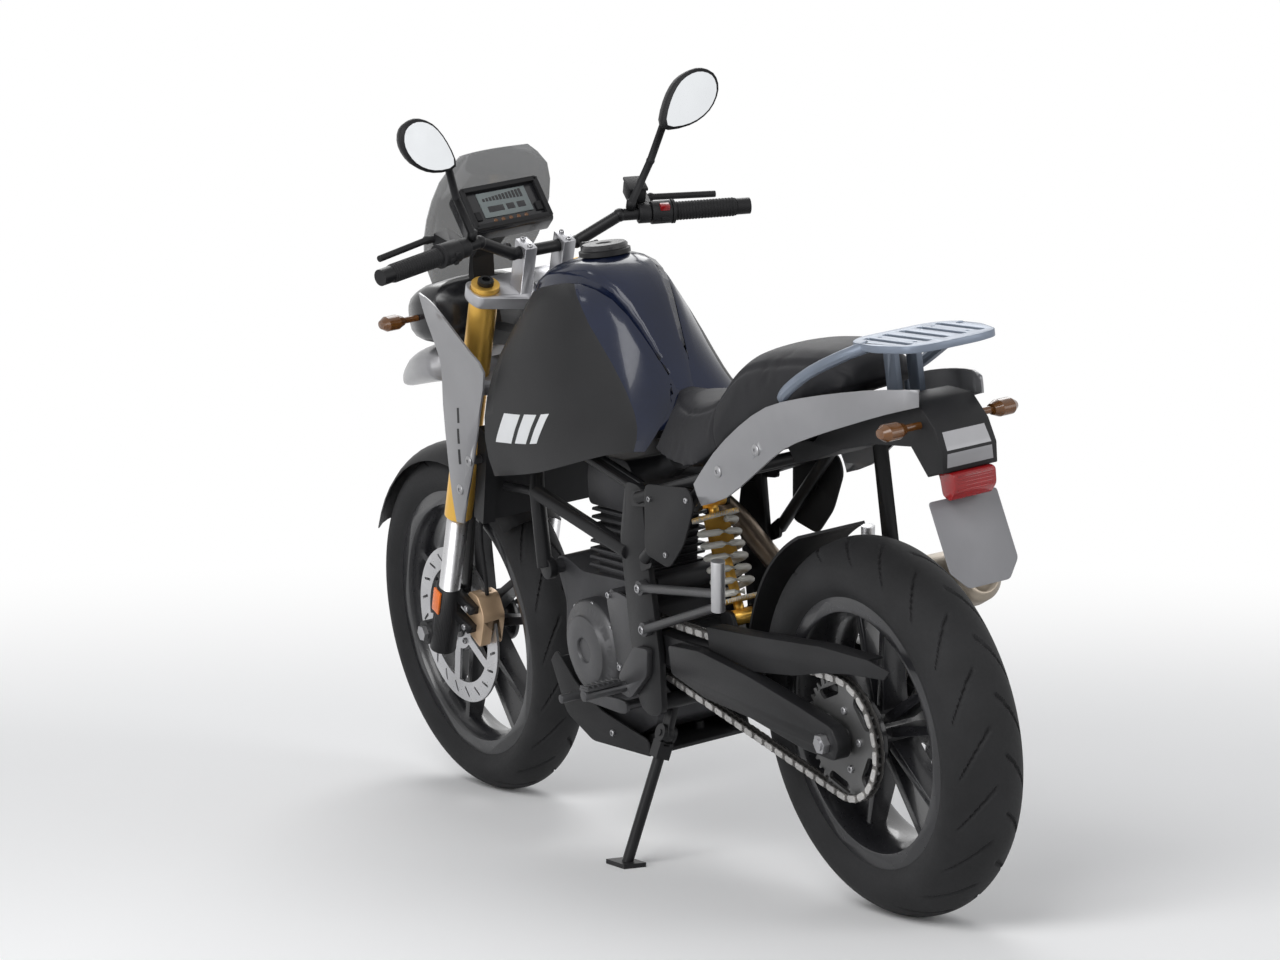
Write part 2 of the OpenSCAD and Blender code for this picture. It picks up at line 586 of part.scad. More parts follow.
module fuel_cap() color([0.16, 0.16, 0.17]) stance() translate(cap_c) difference() {
    union() {
        translate([0, 0, 10.3]) rotate_extrude() polygon(lid_profile);
        translate([30, -9.7, 11]) cube([20, 19.4, 7]);
        cross_bar(cap_hinge.x, cap_hinge.y, -9.7, 9.7, 5.5);
    }
    cross_bar(cap_hinge.x, cap_hinge.y, -20, 20, 2.5 + shaft_gap, $fn = 24);
}
nose_panel_form = [
    [[478, 148, 572], 150, [450, 149, 572]],
    [[470, 154, 620], 158, [412, 156, 620]],
    [[452, 162, 700], 170, [350, 164, 700]],
    [[432, 168, 800], 176, [285, 172, 800]],
    [[420, 168, 872], 172, [250, 172, 872]],
    [[440, 166, 915], 170, [292, 172, 905]],
    [[490, 152, 954], 160, [356, 167, 940]],
    [[556, 126, 990], 137, [430, 158, 974]]
];
module nose_panels() color(silver_paint) nose() both_sides() {
    side_panel(nose_panel_form, 2, 4);
    cross_bar(362, 700, 142.4, 166, 8);
}
lamp_back = 548;
dash_c = [430, 1128];
dash_a = 35;
dash_up = [sin(dash_a), cos(dash_a)];
dash_out = [-cos(dash_a), sin(dash_a)];
dash_back = dash_c - 22.4 * dash_out;
bracket_form = [
    [376, 906], [526, 912], [530, 1000], [524, 1040], dash_back - 24 * dash_up, dash_back + 16 * dash_up,
    [520, 1078], [lamp_back - seat_gap, 1010], [lamp_back - seat_gap, 872], [520, 880], [372, 884]
];
module nose_bracket() color(dark_metal) stance() {
    difference() {
        translate(front_shift) slab(bracket_form, -22, 22);
        fork_frame() translate([0, 0, head_low - 40])
            cylinder(h = head_high - head_low + 80, r = head_r + seat_gap);
    }
}
// Stations of the nose: x, top, bottom, half width, shear
beak_form = [
    [892, 786, 770, 12, 0], [850, 806, 772, 34, 0], [760, 846, 786, 66, 0.1], [660, 873, 800, 92, 0.2],
    [590, 877.5, 806, 96, 0.25]
];
lamp_form = [
    [690, 950, 886, 82, 0.12], [650, 985, 879, 102, 0.06], [596, 1000, 878, 112, 0],
    [lamp_back, 996, 878, 96, 0]
];
lens_form = [[708, 930, 902, 54, 0.12], [702, 940, 894, 70, 0.12], [691, 948, 888, 80, 0.12]];
module beak() color(silver_paint) nose() body_loft(beak_form, 2, 20, 0.7);
module headlamp() color(black_plastic) nose() body_loft(lamp_form, 2, 24, 0.6);
module headlamp_lens() color([0.85, 0.88, 0.92]) nose() body_loft(lens_form, 2, 24, 0.6);
// Rows of the screen: x, height, half width
screen_rows = [[596, 1000.6, 92], [570, 1060, 120], [528, 1130, 128], [484, 1198, 112], [456, 1240, 70]];
screen_n = 8;
screen_curve = 46;
screen_half = 128;
screen_t = 4;
module windscreen() color([0.30, 0.32, 0.35, 0.6]) nose() {
    g = [for (r = spline(screen_rows, 2)) [for (j = [0 : screen_n]) let (q = 2 * j / screen_n - 1)
        [r[0] - screen_curve * q * q * r[2] / screen_half, r[2] * q, r[1]]]];
    shell_between(g, [for (r = g) [for (p = r) p - [screen_t, 0, 0]]]);
}
dash_size = [22, 84, 46];
module instrument_panel() color(black_plastic) nose()
    slab(rounded([for (k = [[1, -1], [1, 1], [-1, 1], [-1, -1]]) dash_c + k.x * dash_size.z * dash_up
        + k.y * dash_size.x * dash_out], 10), -dash_size.y, dash_size.y);
// Seat. Stations: edge, pull of the side, low edge, crown and floor heights
seat_form = [
    [[-163, 20, 852], 60, [-235, 130, 766], 858, 766],
    [[-246, 62, 840], 106, [-290, 140, 756], 848, 756],
    [[-310, 84, 836], 124, [-340, 144, 748], 846, 748],
    [[-365, 94, 842], 132, [-390, 144, 748], 852, 748],
    [[-425, 98, 858], 130, [-450, 140, 772], 872, 772],
    [[-480, 96, 898], 124, [-500, 130, 806], 920, 806],
    [[-535, 94, 926], 118, [-550, 122, 836], 948, 836],
    [[-620, 90, 941], 112, [-625, 114, 862], 963, 862],
    [[-720, 80, 947], 100, [-722, 104, 886], 968, 886],
    [[-780, 66, 943], 86, [-784, 88, 900], 960, 900],
    [[-803, 50, 930], 72, [-808, 74, 906], 944, 906]
];
module seat() color([0.10, 0.10, 0.11]) stance() saddle_loft(seat_form, 2, 6);
tail_panel_form = [
    [[-412, 148, 730], 150, [-428, 147, 694]],
    [[-490, 148, 790], 150, [-512, 146, 716]],
    [[-576, 144, 842], 146, [-608, 141, 766]],
    [[-660, 138, 880], 140, [-692, 134, 812]],
    [[-750, 129, 900], 131, [-772, 125, 838]],
    [[-850, 112, 914], 114, [-862, 109, 862]],
    [[-940, 90, 922], 92, [-942, 89, 882]],
    [[-1004, 62, 922], 64, [-1000, 64, 894]]
];
module tail_panels() color(silver_paint) stance() both_sides() {
    side_panel(tail_panel_form, 2, 4);
    cross_bar(-620, 806, 112.4, 142, 8);
}
// Luggage rack with its grab rails
rack_z = 985;
rack_t = 12;
rack_c = -944;
rack_bolt_pcd = 142;
rack_bolt_r = 3.3;
rack_plan = [[-852, 64], [-880, 98], [-955, 104], [-1030, 82], [-1044, 40]];
rail_foot = [-690, 121, 895];
rail_end = [-916, 88, rack_z + 6];
rail_run = spline([rail_foot, [-730, 132, 915], [-800, 130, 948], [-880, 112, 978], rail_end], 3);
rail_r = 10;
rack_slot = [[-66, -6], [-66, 6], [66, 6], [66, -6]];
rack_strut = [[-890, 896.8], [-858, 890.9], [-858, rack_z + 1], [-890, rack_z + 1]];
module luggage_rack() color([0.60, 0.64, 0.68]) stance() {
    mirrored = [for (k = [len(rack_plan) - 1 : -1 : 0]) [rack_plan[k].x, -rack_plan[k].y]];
    difference() {
        translate([0, 0, rack_z]) linear_extrude(rack_t)
            polygon(rounded(concat(rack_plan, mirrored), 18));
        for (y = [-68, -33, 0, 33, 68]) translate([rack_c, y, rack_z - 1]) linear_extrude(rack_t + 2)
            polygon(rounded(rack_slot, 5));
        for (a = [45 : 90 : 315]) translate([rack_c, 0, rack_z - 1]) rotate(a)
            translate([rack_bolt_pcd / 2, 0]) cylinder(h = rack_t + 2, r = rack_bolt_r, $fn = 32);
    }
    both_sides() {
        slab(rack_strut, 16, 27);
        hose(rail_run, rail_r, 10);
        tube_run([rail_foot, rail_foot - [0, 0, 43], [rail_foot.x, 104.3, 839.7]], rail_r - 3);
    }
}
fender_form = [
    [-560, 800], [-626, 806.2], [-656, 806.2], [-700, 840], [-800, 880], [-920, 902], [-985, 898],
    [-1024, 860], [-1040, 822], [-1036, 788], [-1004, 784], [-990, 778], [-950, 824], [-840, 818],
    [-740, 800], [-640, 772], [-590, 764]
];
tail_lamp_form = [[-1036, 787.7], [-1004.3, 783.7], [-1008, 748], [-1028, 740], [-1046, 758], [-1048, 784]];
plate_top = [-998, 752];
plate_tilt = 20;
carrier_t = 8;
module tail_fender() color(black_plastic) stance() {
    slab(fender_form, -52, 52);
    on_plate() translate([0, -26, -plate_h + 12]) cube([carrier_t, 52, plate_h + 36]);
}
module on_plate() translate([plate_top.x, 0, plate_top.y]) rotate([0, plate_tilt, 0]) children();
module tail_lamp() color([0.55, 0.02, 0.03]) stance() slab(rounded(tail_lamp_form, 6), -40, 40);
blank_t = 2.4;
blank_top = 12;
blank_cut = [26, 30];
module number_plate() color([0.80, 0.80, 0.76]) stance() on_plate() {
    w = plate_w / 2;
    low = blank_cut.y - plate_h;
    translate([-seat_gap - blank_t, 0, 0]) rotate([90, 0, 90]) linear_extrude(blank_t)
        polygon(rounded([[-w, -blank_top], [w, -blank_top], [w, low], [w - blank_cut.x, -plate_h],
            [blank_cut.x - w, -plate_h], [-w, low]], 6));
}
// Turn indicators on their stalks
stalk_len = 34;
lens_profile = [[0, 0], [9, 0], [14, 12], [14, 34], [8, 44], [0, 45]];
module indicator(x, y, z) {
    cross_bar(x, z, y, y + stalk_len, 6);
    translate([x, y + stalk_len - 2, z]) rotate([-90, 0, 0]) scale([1.5, 1, 1])
        rotate_extrude() polygon(lens_profile);
}
module indicators() color([0.80, 0.36, 0.06]) {
    nose() both_sides() indicator(600, 112.3, 938);
    stance() both_sides() indicator(-985, 52.3, 862);
}
side_cover = [[-222, 590], [-250, 715], [-398, 722], [-408, 690], [-360, 620], [-300, 572]];
module side_covers() color(black_plastic) stance() both_sides() {
    slab(rounded(side_cover, 16), 148, 148 + panel_t);
    cross_bar(-318, 661, 140.2, 149, 8);
}

// Swingarm, shock and guards
arm_in = 103;
arm_out = 131;
arm_form = [
    [-225, 425], [-330, 427], [-480, 405], [-640, 372], [-735, 350], [-752, 320], [-735, 293], [-640, 300],
    [-480, 330], [-330, 345], [-225, 374]
];
arm_bridge = [[-160, 436], [-330, 426], [-330, 350], [-160, 384]];
shock_ear = [[-230, 420], [-294, 420], [-278, 468], [-246, 468]];
shock_low = [-262, 452];
shock_top = [-206, 654];
module swingarm() color(black_plastic) stance() difference() {
    union() {
        slab(arm_bridge, -112, 112);
        both_sides() slab(rounded(arm_line(arm_form), 10), arm_in, arm_out);
        cross_bar(swing_pivot.x, swing_pivot.y, -plate_y + seat_gap, plate_y - seat_gap, 22);
        both_sides() slab(rounded(shock_ear, 10), 22, 30);
    }
    cross_bar(rear_axle.x, rear_axle.z, -140, 140, rear_axle_r + shaft_gap);
}
module rear_axle() color(bare_metal) stance() translate(rear_axle) {
    cross_bar(0, 0, -146, 146, rear_axle_r);
    both_sides() cross_bar(0, 0, arm_out + seat_gap, 143, 17, $fn = 6);
    cross_bar(0, 0, 96.3, arm_in - seat_gap, 16);
    cross_bar(0, 0, -95.7, -88.3, 16);
}
shock_dir = unit([shock_top.x - shock_low.x, shock_top.y - shock_low.y]);
function shock_pt(s) = [shock_low.x + shock_dir.x * s, 0, shock_low.y + shock_dir.y * s];
shock_len = norm(shock_top - shock_low);
spring_turns = 6;
spring_r = 33;
spring_wire = 6;
module rear_shock() color(fork_gold) stance() {
    cross_bar(shock_low.x, shock_low.y, -21.6, 21.6, 14);
    cross_bar(shock_top.x, shock_top.y, -23.6, 23.6, 14);
    rod(shock_pt(8), shock_pt(shock_len - 8), 9);
    rod(shock_pt(26), shock_pt(34), 42);
    rod(shock_pt(shock_len - 34), shock_pt(shock_len - 26), 42);
    rod(shock_pt(shock_len - 100), shock_pt(shock_len - 30), 22);
    n = [-shock_dir.y, 0, shock_dir.x];
    steps = 12 * spring_turns;
    hose([for (k = [0 : steps]) shock_pt(40.5 + (shock_len - 81) * k / steps)
        + spring_r * (cos(30 * k) * n + sin(30 * k) * [0, 1, 0])], spring_wire, 8);
}
guard_top = [[-334, 466], [-500, 470], [-700, 478], [-840, 474]];
guard_form = concat([[-334, 427.6]], guard_top,
    [[-905, 462], [-884, 446], [-780, 442], [-690, 432], [-600, 416], [-478, 406.2]]);
module chain_guard() color([0.24, 0.24, 0.25]) stance() {
    slab(arm_line(guard_form), 108, 112);
    slab(arm_line(concat(guard_top, [for (k = [3 : -1 : 0]) guard_top[k] - [0, 4]])), 81, 108.5);
}
// Splash guard round the front of the rear tyre, with a flange on the swingarm's bridge
splash_gap = 17;
splash_r = rear_tyre_r + splash_gap;
splash_t = 5;
splash_half = 66;
splash_low = 13;
splash_high = 70;
flange_root = [-300, 428.6];
module splash_guard() color(black_plastic) stance() {
    foot = [rear_axle.x, rear_axle.z] + (splash_r + splash_t / 2) * polar(splash_low + 5);
    translate(rear_axle) rotate([90, 0, 0]) rotate(splash_low)
        rotate_extrude(angle = splash_high - splash_low, $fn = 96)
            translate([splash_r, -splash_half]) square([splash_t, 2 * splash_half]);
    slab([flange_root, [-329, 427], foot, foot + [0, splash_t], flange_root + [0, splash_t]], -60, 60);
}
caliper_plate = [[10, 1], [-12, 19], [20, 99], [70, 127], [92, 109]];
caliper_body = [[22, 87], [38, 135], [76, 137], [116, 99], [94, 57]];
module rear_caliper() color(caliper_gold) stance() translate(rear_axle) {
    difference() {
        union() {
            slab(rounded(caliper_plate, 10), -102.4, -96.3);
            cross_bar(0, 0, -102.4, -96.3, 22);
        }
        cross_bar(0, 0, -120, -80, rear_axle_r + shaft_gap);
    }
    difference() {
        slab(rounded(caliper_body, 14), -100, -64);
        cross_bar(0, 0, rear_disc_y - 3, rear_disc_y + disc_t + 3, rear_disc_r + 4);
    }
}
exhaust_run = spline([
    port - [3.2, 0, 0], port - [15, 0, 0], [-136, -50, 643], [-168, -74, 602], [-208, -91, 550],
    [-270, -98, 506], [-350, -110, 478], [-412, -144, 470], [-457.2, -164.5, 479.4], [-485.8, -166, 485.9]
], 3);
module exhaust_pipe() color([0.45, 0.43, 0.40]) stance() hose(exhaust_run, 19, 12);
silencer_a = [-488.6, -166.1, 486.5];
silencer_b = [-760, -180.4, 547.7];
silencer_profile = [
    [0, 0], [24, 0], [26, 40], [48, 90], [50, 110], [50, 240], [45, 266], [30, 280], [30, 262], [0, 262]
];
hanger_form = [[-588, 500], [-556, 500], [-562, 806], [-588, 806]];
module silencer() color([0.62, 0.58, 0.52]) stance() {
    d = unit(silencer_b - silencer_a);
    translate(silencer_a) rotate([0, acos(d.z), atan2(d.y, d.x)]) rotate_extrude() polygon(silencer_profile);
    slab(rounded(hanger_form, 8), -132, -118);
}

// Foot rests and levers
step_plate = [[-165, 410], [-118, 410], [-52, 352], [-48, 318], [-82, 312], [-150, 360]];
step_peg = [-66, 332];
hanger_high = [-166, 520];
hanger_low = [-162, 446];
hanger_out = 141;
pillion_peg = [[-447, 150, 516], [-466, 150, 604]];
module footrests() color([0.30, 0.30, 0.31]) stance() both_sides() {
    slab(rounded(step_plate, 10), sub_lug_y, 139);
    cross_bar(step_peg.x, step_peg.y, 138, 222, 10);
    translate([step_peg.x - 14, 150, step_peg.y + 8]) cube([28, 70, 5]);
    for (c = [hanger_high, hanger_low]) cross_bar(c.x, c.y, sub_lug_y, hanger_out, 13);
    rod([hanger_high.x, 136, hanger_high.y], [-453, 150, 546], 8);
    rod([hanger_low.x, 136, hanger_low.y], [-449, 150, 524], 8);
    rod(pillion_peg[0], pillion_peg[1], 12);
}
lever_form = [[-54, 300], [-28, 302], [122, 298], [122, 284], [-30, 276], [-54, 280]];
lever_pivot = [-40, 290];
lever_tip = [114, 291];
lever_y = 126;
module lever(root) {
    slab(rounded(lever_form, 8), lever_y, lever_y + 7);
    cross_bar(lever_pivot.x, lever_pivot.y, root + seat_gap, lever_y + 1, 9);
    cross_bar(lever_tip.x, lever_tip.y, lever_y + 6, lever_y + 46, 8);
}
module foot_levers() color(bare_metal) stance() {
    lever(case_left);
    mirror([0, 1, 0]) lever(-case_right);
}
stand_len = 238;
module side_stand() color(dark_metal) stance() translate(stand_pivot) rotate([stand_splay, 0, 0]) {
    ear = stand_lug_t + 0.4;
    difference() {
        union() {
            both_sides() cross_bar(0, 0, ear, ear + 7, 16);
            rotate([0, -stand_forward, 0]) {
                translate([-13, -ear - 7, -44]) cube([26, 2 * ear + 14, 30]);
                translate([0, 0, -stand_len]) cylinder(h = stand_len - 36, r = 10);
            }
        }
        cross_bar(0, 0, -ear, ear, 24);
    }
    cross_bar(0, 0, -ear - 9, ear + 9, stand_pin_r);
    rotate([0, -stand_forward, 0]) translate([0, 0, -stand_len]) rotate([0, stand_forward, 0])
        rotate([lean - stand_splay, 0, 0]) translate([-28, -22, -5]) cube([64, 44, 8]);
}

// Steered parts, in the frame of the steering axis
fork_tube_low = 620;
fork_tube_high = 1122;
axle_at = [
    (front_axle.x - head_x) * cos(rake) + front_axle.z * sin(rake),
    (head_x - front_axle.x) * sin(rake) + front_axle.z * cos(rake)
];
module on_axle() translate([axle_at.x, 0, axle_at.y]) children();
module fork_tubes() color(fork_gold) stance() fork_frame() both_sides()
    translate([fork_offset, fork_y, fork_tube_low]) difference() {
        cylinder(h = fork_tube_high - fork_tube_low, r = fork_tube_r);
        translate([0, 0, -1]) cylinder(h = 90, r = stanchion_r + 0.2);
    }
foot_r = 25;
foot_below = 20;
foot_len = 140;
stanchion_top = 700;
module fork_legs() color([0.20, 0.20, 0.21]) stance() fork_frame() {
    both_sides() difference() {
        union() {
            translate([fork_offset, fork_y, axle_at.y - foot_below]) {
                cylinder(h = foot_len, r = foot_r);
                cylinder(h = stanchion_top - axle_at.y + foot_below, r = stanchion_r);
            }
            cross_bar(axle_at.x, axle_at.y, fork_y - foot_r, fork_y + foot_r, 23);
        }
        cross_bar(axle_at.x, axle_at.y, 60, 150, front_axle_r + shaft_gap);
    }
    on_axle() for (z = [58, 100]) translate([-102, 80, z]) cube([84, 18, 15]);
}
clamp_form = [
    [-30, -34], [-30, 34], [4, 128], [24, 134], [44, 134], [62, 126], [66, 60], [66, -60], [62, -126],
    [44, -134], [24, -134], [4, -128]
];
bar_at = [10, 1190];
module triple_clamps() color([0.55, 0.55, 0.57]) stance() fork_frame() {
    for (z = [[905, 937], [1089.5, 1113]]) difference() {
        translate([0, 0, z[0]]) linear_extrude(z[1] - z[0]) polygon(rounded(clamp_form, 12));
        both_sides() translate([fork_offset, fork_y, z[0] - 5]) cylinder(h = 50, r = fork_tube_r + 0.1);
    }
    translate([0, 0, 930]) cylinder(h = 165, r = stem_r);
    translate([0, 0, 1110]) cylinder(h = 12, r = 17, $fn = 6);
    both_sides() difference() {
        translate([bar_at.x - 20, 28, 1112]) cube([40, 24, bar_at.y - 1112 + 18]);
        cross_bar(bar_at.x, bar_at.y, 20, 60, handlebar_r + 0.2);
    }
}
bar_straight = 210;
bar_bend = [0, handlebar_w / 2 - bar_straight, 1236];
bar_end = [-58, handlebar_w / 2, 1246];
bar_dir = unit(bar_end - bar_bend);
bar_mid = [bar_at.x, 66, bar_at.y];
function bar_pt(s) = bar_bend + bar_dir * s;
bar_len = norm(bar_end - bar_bend);
module handlebar() color(black_plastic) stance() fork_frame() {
    cross_bar(bar_at.x, bar_at.y, -66, 66, handlebar_r);
    both_sides() {
        translate(bar_mid) sphere(r = handlebar_r + 1);
        tube_run([bar_mid, bar_bend, bar_end], handlebar_r);
        rod(bar_pt(bar_len + 0.5), bar_pt(bar_len + 26), 15);
        rod(bar_pt(bar_len - 2), bar_pt(bar_len + 2), handlebar_r - 1);
    }
}
grip_len = 122;
module grips() color(rubber_black) stance() fork_frame() both_sides() difference() {
    union() {
        rod(bar_pt(bar_len - grip_len), bar_pt(bar_len), 16.5);
        rod(bar_pt(bar_len - grip_len), bar_pt(bar_len - grip_len + 6), 22);
    }
    rod(bar_pt(bar_len - grip_len - 5), bar_pt(bar_len + 5), handlebar_r + 0.2);
}
switch_0 = bar_len - grip_len - 62;
switch_1 = bar_len - grip_len - 1;
lever_bend = bar_pt(switch_0 + 50) + [60, 6, -4];
module hand_controls() color(black_plastic) stance() fork_frame() both_sides() {
    difference() {
        union() {
            rod(bar_pt(switch_0 + 24), bar_pt(switch_1), 21);
            rod(bar_pt(switch_0), bar_pt(switch_0 + 22), 18);
            translate(bar_pt(switch_0 + 4)) rotate([0, 0, 17]) translate([8, -8, -12]) cube([46, 32, 24]);
        }
        rod(bar_pt(switch_0 - 10), bar_pt(switch_1 + 10), handlebar_r + 0.2);
    }
    rod(bar_pt(switch_0 + 4) + [44, 10, 0], lever_bend, 7);
    rod(lever_bend, bar_pt(bar_len - 8) + [56, 0, -4], 6);
    translate(lever_bend) sphere(r = 8);
}
mirror_inset = 87;
elbow_inset = 155;
mirror_c = [172, handlebar_w / 2 - mirror_inset, 1298];
mirror_foot = bar_pt(switch_0 - 14) + [2, 0, handlebar_r + 1.3];
mirror_elbow = [214, handlebar_w / 2 - elbow_inset, 1196];
// Teardrop outline of the mirror, from its neck round the outer side
mirror_line = [[-56, -44], [-8, -47], [34, -26], [56, 10], [50, 42], [20, 54], [-16, 40], [-44, 2]];
function mirror_ring(x, k) = [
    for (i = [0 : len(mirror_line) - 1]) for (j = [0 : 2])
        let (p = k * loop_at(mirror_line, i, j / 3)) mirror_c + [x - 0.18 * p.x, p.x, p.y]
];
function loop_at(c, i, t) = let (n = len(c)) spline_at([for (j = [n - 1 : n + 2]) c[(i + j) % n]], 1, t);
mirror_form = [[34, 0.25], [29, 0.6], [14, 0.92], [-2, 1], [-10, 0.97]];
module mirrors() color(black_plastic) stance() both_sides() {
    loft([for (s = mirror_form) mirror_ring(s[0], s[1])]);
    rod(mirror_elbow, mirror_c + [16, -46, -36], 7);
    translate(mirror_elbow) sphere(r = 8);
    rod(fork_pt(mirror_foot + [0, 0, 10]), mirror_elbow, 7);
    fork_frame() translate(mirror_foot) cylinder(h = 16, r = 9);
}
module mirror_glass() color([0.75, 0.80, 0.84]) stance() both_sides()
    loft([mirror_ring(-10.4, 0.88), mirror_ring(-12.4, 0.88)]);
guard_w = 61;
guard_gap = 14.5;
guard_t = 3.5;
guard_drop = 26;
guard_from = 30;
guard_span = 110;
guard_boss = fork_pt([fork_offset, 0, axle_at.y + 105]);
function guard_grid(gap) = [
    for (i = [0 : 16]) let (a = guard_from + guard_span * i / 16) [for (j = [0 : 8])
        let (q = 2 * j / 8 - 1, r = front_tyre_r + gap - guard_drop * pow(abs(q), 2.4))
        front_axle + [r * cos(a), guard_w * q, r * sin(a)]]
];
function on_guard(a) = [front_axle.x, front_axle.z] + (front_tyre_r - 2) * polar(a);
module front_mudguard() color(black_plastic) stance() {
    shell_between(guard_grid(guard_gap + guard_t), guard_grid(guard_gap));
    boss = [guard_boss.x, guard_boss.z];
    both_sides() {
        slab([boss + [17, -10], boss + [-13, 5], on_guard(120), on_guard(105)], guard_w - 0.5, guard_w + 4);
        cross_bar(boss.x, boss.y, guard_w + 2, fork_y - foot_r - seat_gap, 9);
    }
}
caliper_form = [[-124, 34], [-60, 42], [-59, 124], [-92, 132], [-124, 102]];
module front_caliper() color(caliper_gold) stance() fork_frame() on_axle() difference() {
    slab(rounded(caliper_form, 10), 34, 79.7);
    cross_bar(0, 0, front_disc_y - 3, front_disc_y + disc_t + 3, front_disc_r + 4);
}
module front_axle() color(bare_metal) stance() translate([front_axle.x, 0, front_axle.z]) {
    cross_bar(0, 0, -134, 134, front_axle_r);
    both_sides() cross_bar(0, 0, front_hub_half + seat_gap, fork_y - foot_r - seat_gap, 14);
    both_sides() cross_bar(0, 0, fork_y + foot_r + seat_gap, 136, 15, $fn = 6);
}
hose_foot = [axle_at.x - 94, 60, axle_at.y + 133.1];
hose_run = spline([
    hose_foot, hose_foot + [8, 6, 49], [-4, 71, 590], [4, 72, 680], [4, 72, 790], [2, 72, 860], [0, 72, 904.6]
], 3);
module brake_hose() color(rubber_black) stance() hose([for (p = hose_run) fork_pt(p)], 4, 8);

main_frame();
rear_subframe();
engine();
skid_plate();
radiator();
fuel_tank();
filler_ring();
fuel_cap();
tank_panels();
nose_panels();
nose_bracket();
beak();
headlamp();
headlamp_lens();
windscreen();
instrument_panel();
seat();
tail_panels();
luggage_rack();
tail_fender();
tail_lamp();
number_plate();
indicators();
side_covers();
swingarm();
rear_shock();
chain();
chain_guard();
splash_guard();
rear_caliper();
rear_axle();
exhaust_pipe();
silencer();
footrests();
foot_levers();
side_stand();
fork_tubes();
fork_legs();
triple_clamps();
handlebar();
grips();
hand_controls();
mirrors();
mirror_glass();
front_mudguard();
front_caliper();
front_axle();
brake_hose();
front_rim();
front_tyre();
front_disc();
rear_rim();
rear_tyre();
rear_disc();
rear_sprocket();
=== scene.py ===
"""Looks of the adventure motorcycle, built round its CAD frame.

Finishes, rounded edges, the padded seat, tread, fasteners, trim and the studio.
"""

import json
import math

import bmesh
import bpy
from bpy.types import Operator, Panel, PropertyGroup
from mathutils import Matrix, Vector
from mathutils.bvhtree import BVHTree


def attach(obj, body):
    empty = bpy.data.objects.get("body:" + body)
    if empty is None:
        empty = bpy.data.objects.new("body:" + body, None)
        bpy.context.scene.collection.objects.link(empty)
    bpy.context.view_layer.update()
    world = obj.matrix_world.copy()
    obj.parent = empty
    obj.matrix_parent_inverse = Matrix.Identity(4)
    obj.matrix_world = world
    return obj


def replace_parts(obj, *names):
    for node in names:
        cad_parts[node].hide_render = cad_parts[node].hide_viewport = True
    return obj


bl_info = {
    "name": "Adventure motorcycle",
    "version": (1, 0, 0),
    "blender": (4, 5, 0),
    "location": "View3D > Sidebar > Motorcycle",
    "description": "Dresses the motorcycle's CAD frame with finishes, trim and a studio",
    "category": "Object",
}

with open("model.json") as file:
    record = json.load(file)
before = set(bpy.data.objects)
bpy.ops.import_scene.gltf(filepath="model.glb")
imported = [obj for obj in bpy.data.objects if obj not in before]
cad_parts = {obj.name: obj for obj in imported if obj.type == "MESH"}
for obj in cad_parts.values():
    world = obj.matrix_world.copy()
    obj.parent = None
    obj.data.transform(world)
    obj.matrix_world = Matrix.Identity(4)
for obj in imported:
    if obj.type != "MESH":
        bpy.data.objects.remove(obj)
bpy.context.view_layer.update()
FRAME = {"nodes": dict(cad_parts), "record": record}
RECORD = FRAME["record"]
BODY_OF = {node: body for body, nodes in RECORD["behaviour"]["bodies"].items() for node in nodes}
SLOT_OF = {entry["node"]: entry["material_slot"] for entry in RECORD["subparts"]}
MM = 0.001

# Stance of the motorcycle in the row frame, in millimetres and degrees, as in the CAD source
LEAN = math.radians(8)
ORIGIN_MM = Vector((8.13, -151.53, 0.709))
RAKE = math.radians(26.7)
HEAD_X = 808.0
STANCE = Matrix.Translation(ORIGIN_MM * MM) @ Matrix.Rotation(-LEAN, 4, "X")
FORK = Matrix.Translation((HEAD_X * MM, 0, 0)) @ Matrix.Rotation(-RAKE, 4, "Y")
FRONT_AXLE = Vector((710, 0, 329))
REAR_AXLE = Vector((-710, 0, 321))


def at(x, y, z):
    """A point of the upright bike frame in millimetres, in the row frame in metres."""
    return STANCE @ (Vector((x, y, z)) * MM)


def fork_at(x, y, z):
    """A point of the steering frame in millimetres, in the row frame in metres."""
    return STANCE @ FORK @ (Vector((x, y, z)) * MM)


def pair(place, put=at):
    """A place and its mirror place, left and right of the middle plane."""
    x, y, z = place
    return [put(x, side * y, z) for side in (1, -1)]


def along(x, y, z):
    """A direction of the upright bike frame, in the row frame."""
    return (STANCE.to_3x3() @ Vector((x, y, z))).normalized()


def fork_along(x, y, z):
    """A direction of the steering frame, in the row frame."""
    return (STANCE.to_3x3() @ FORK.to_3x3() @ Vector((x, y, z))).normalized()


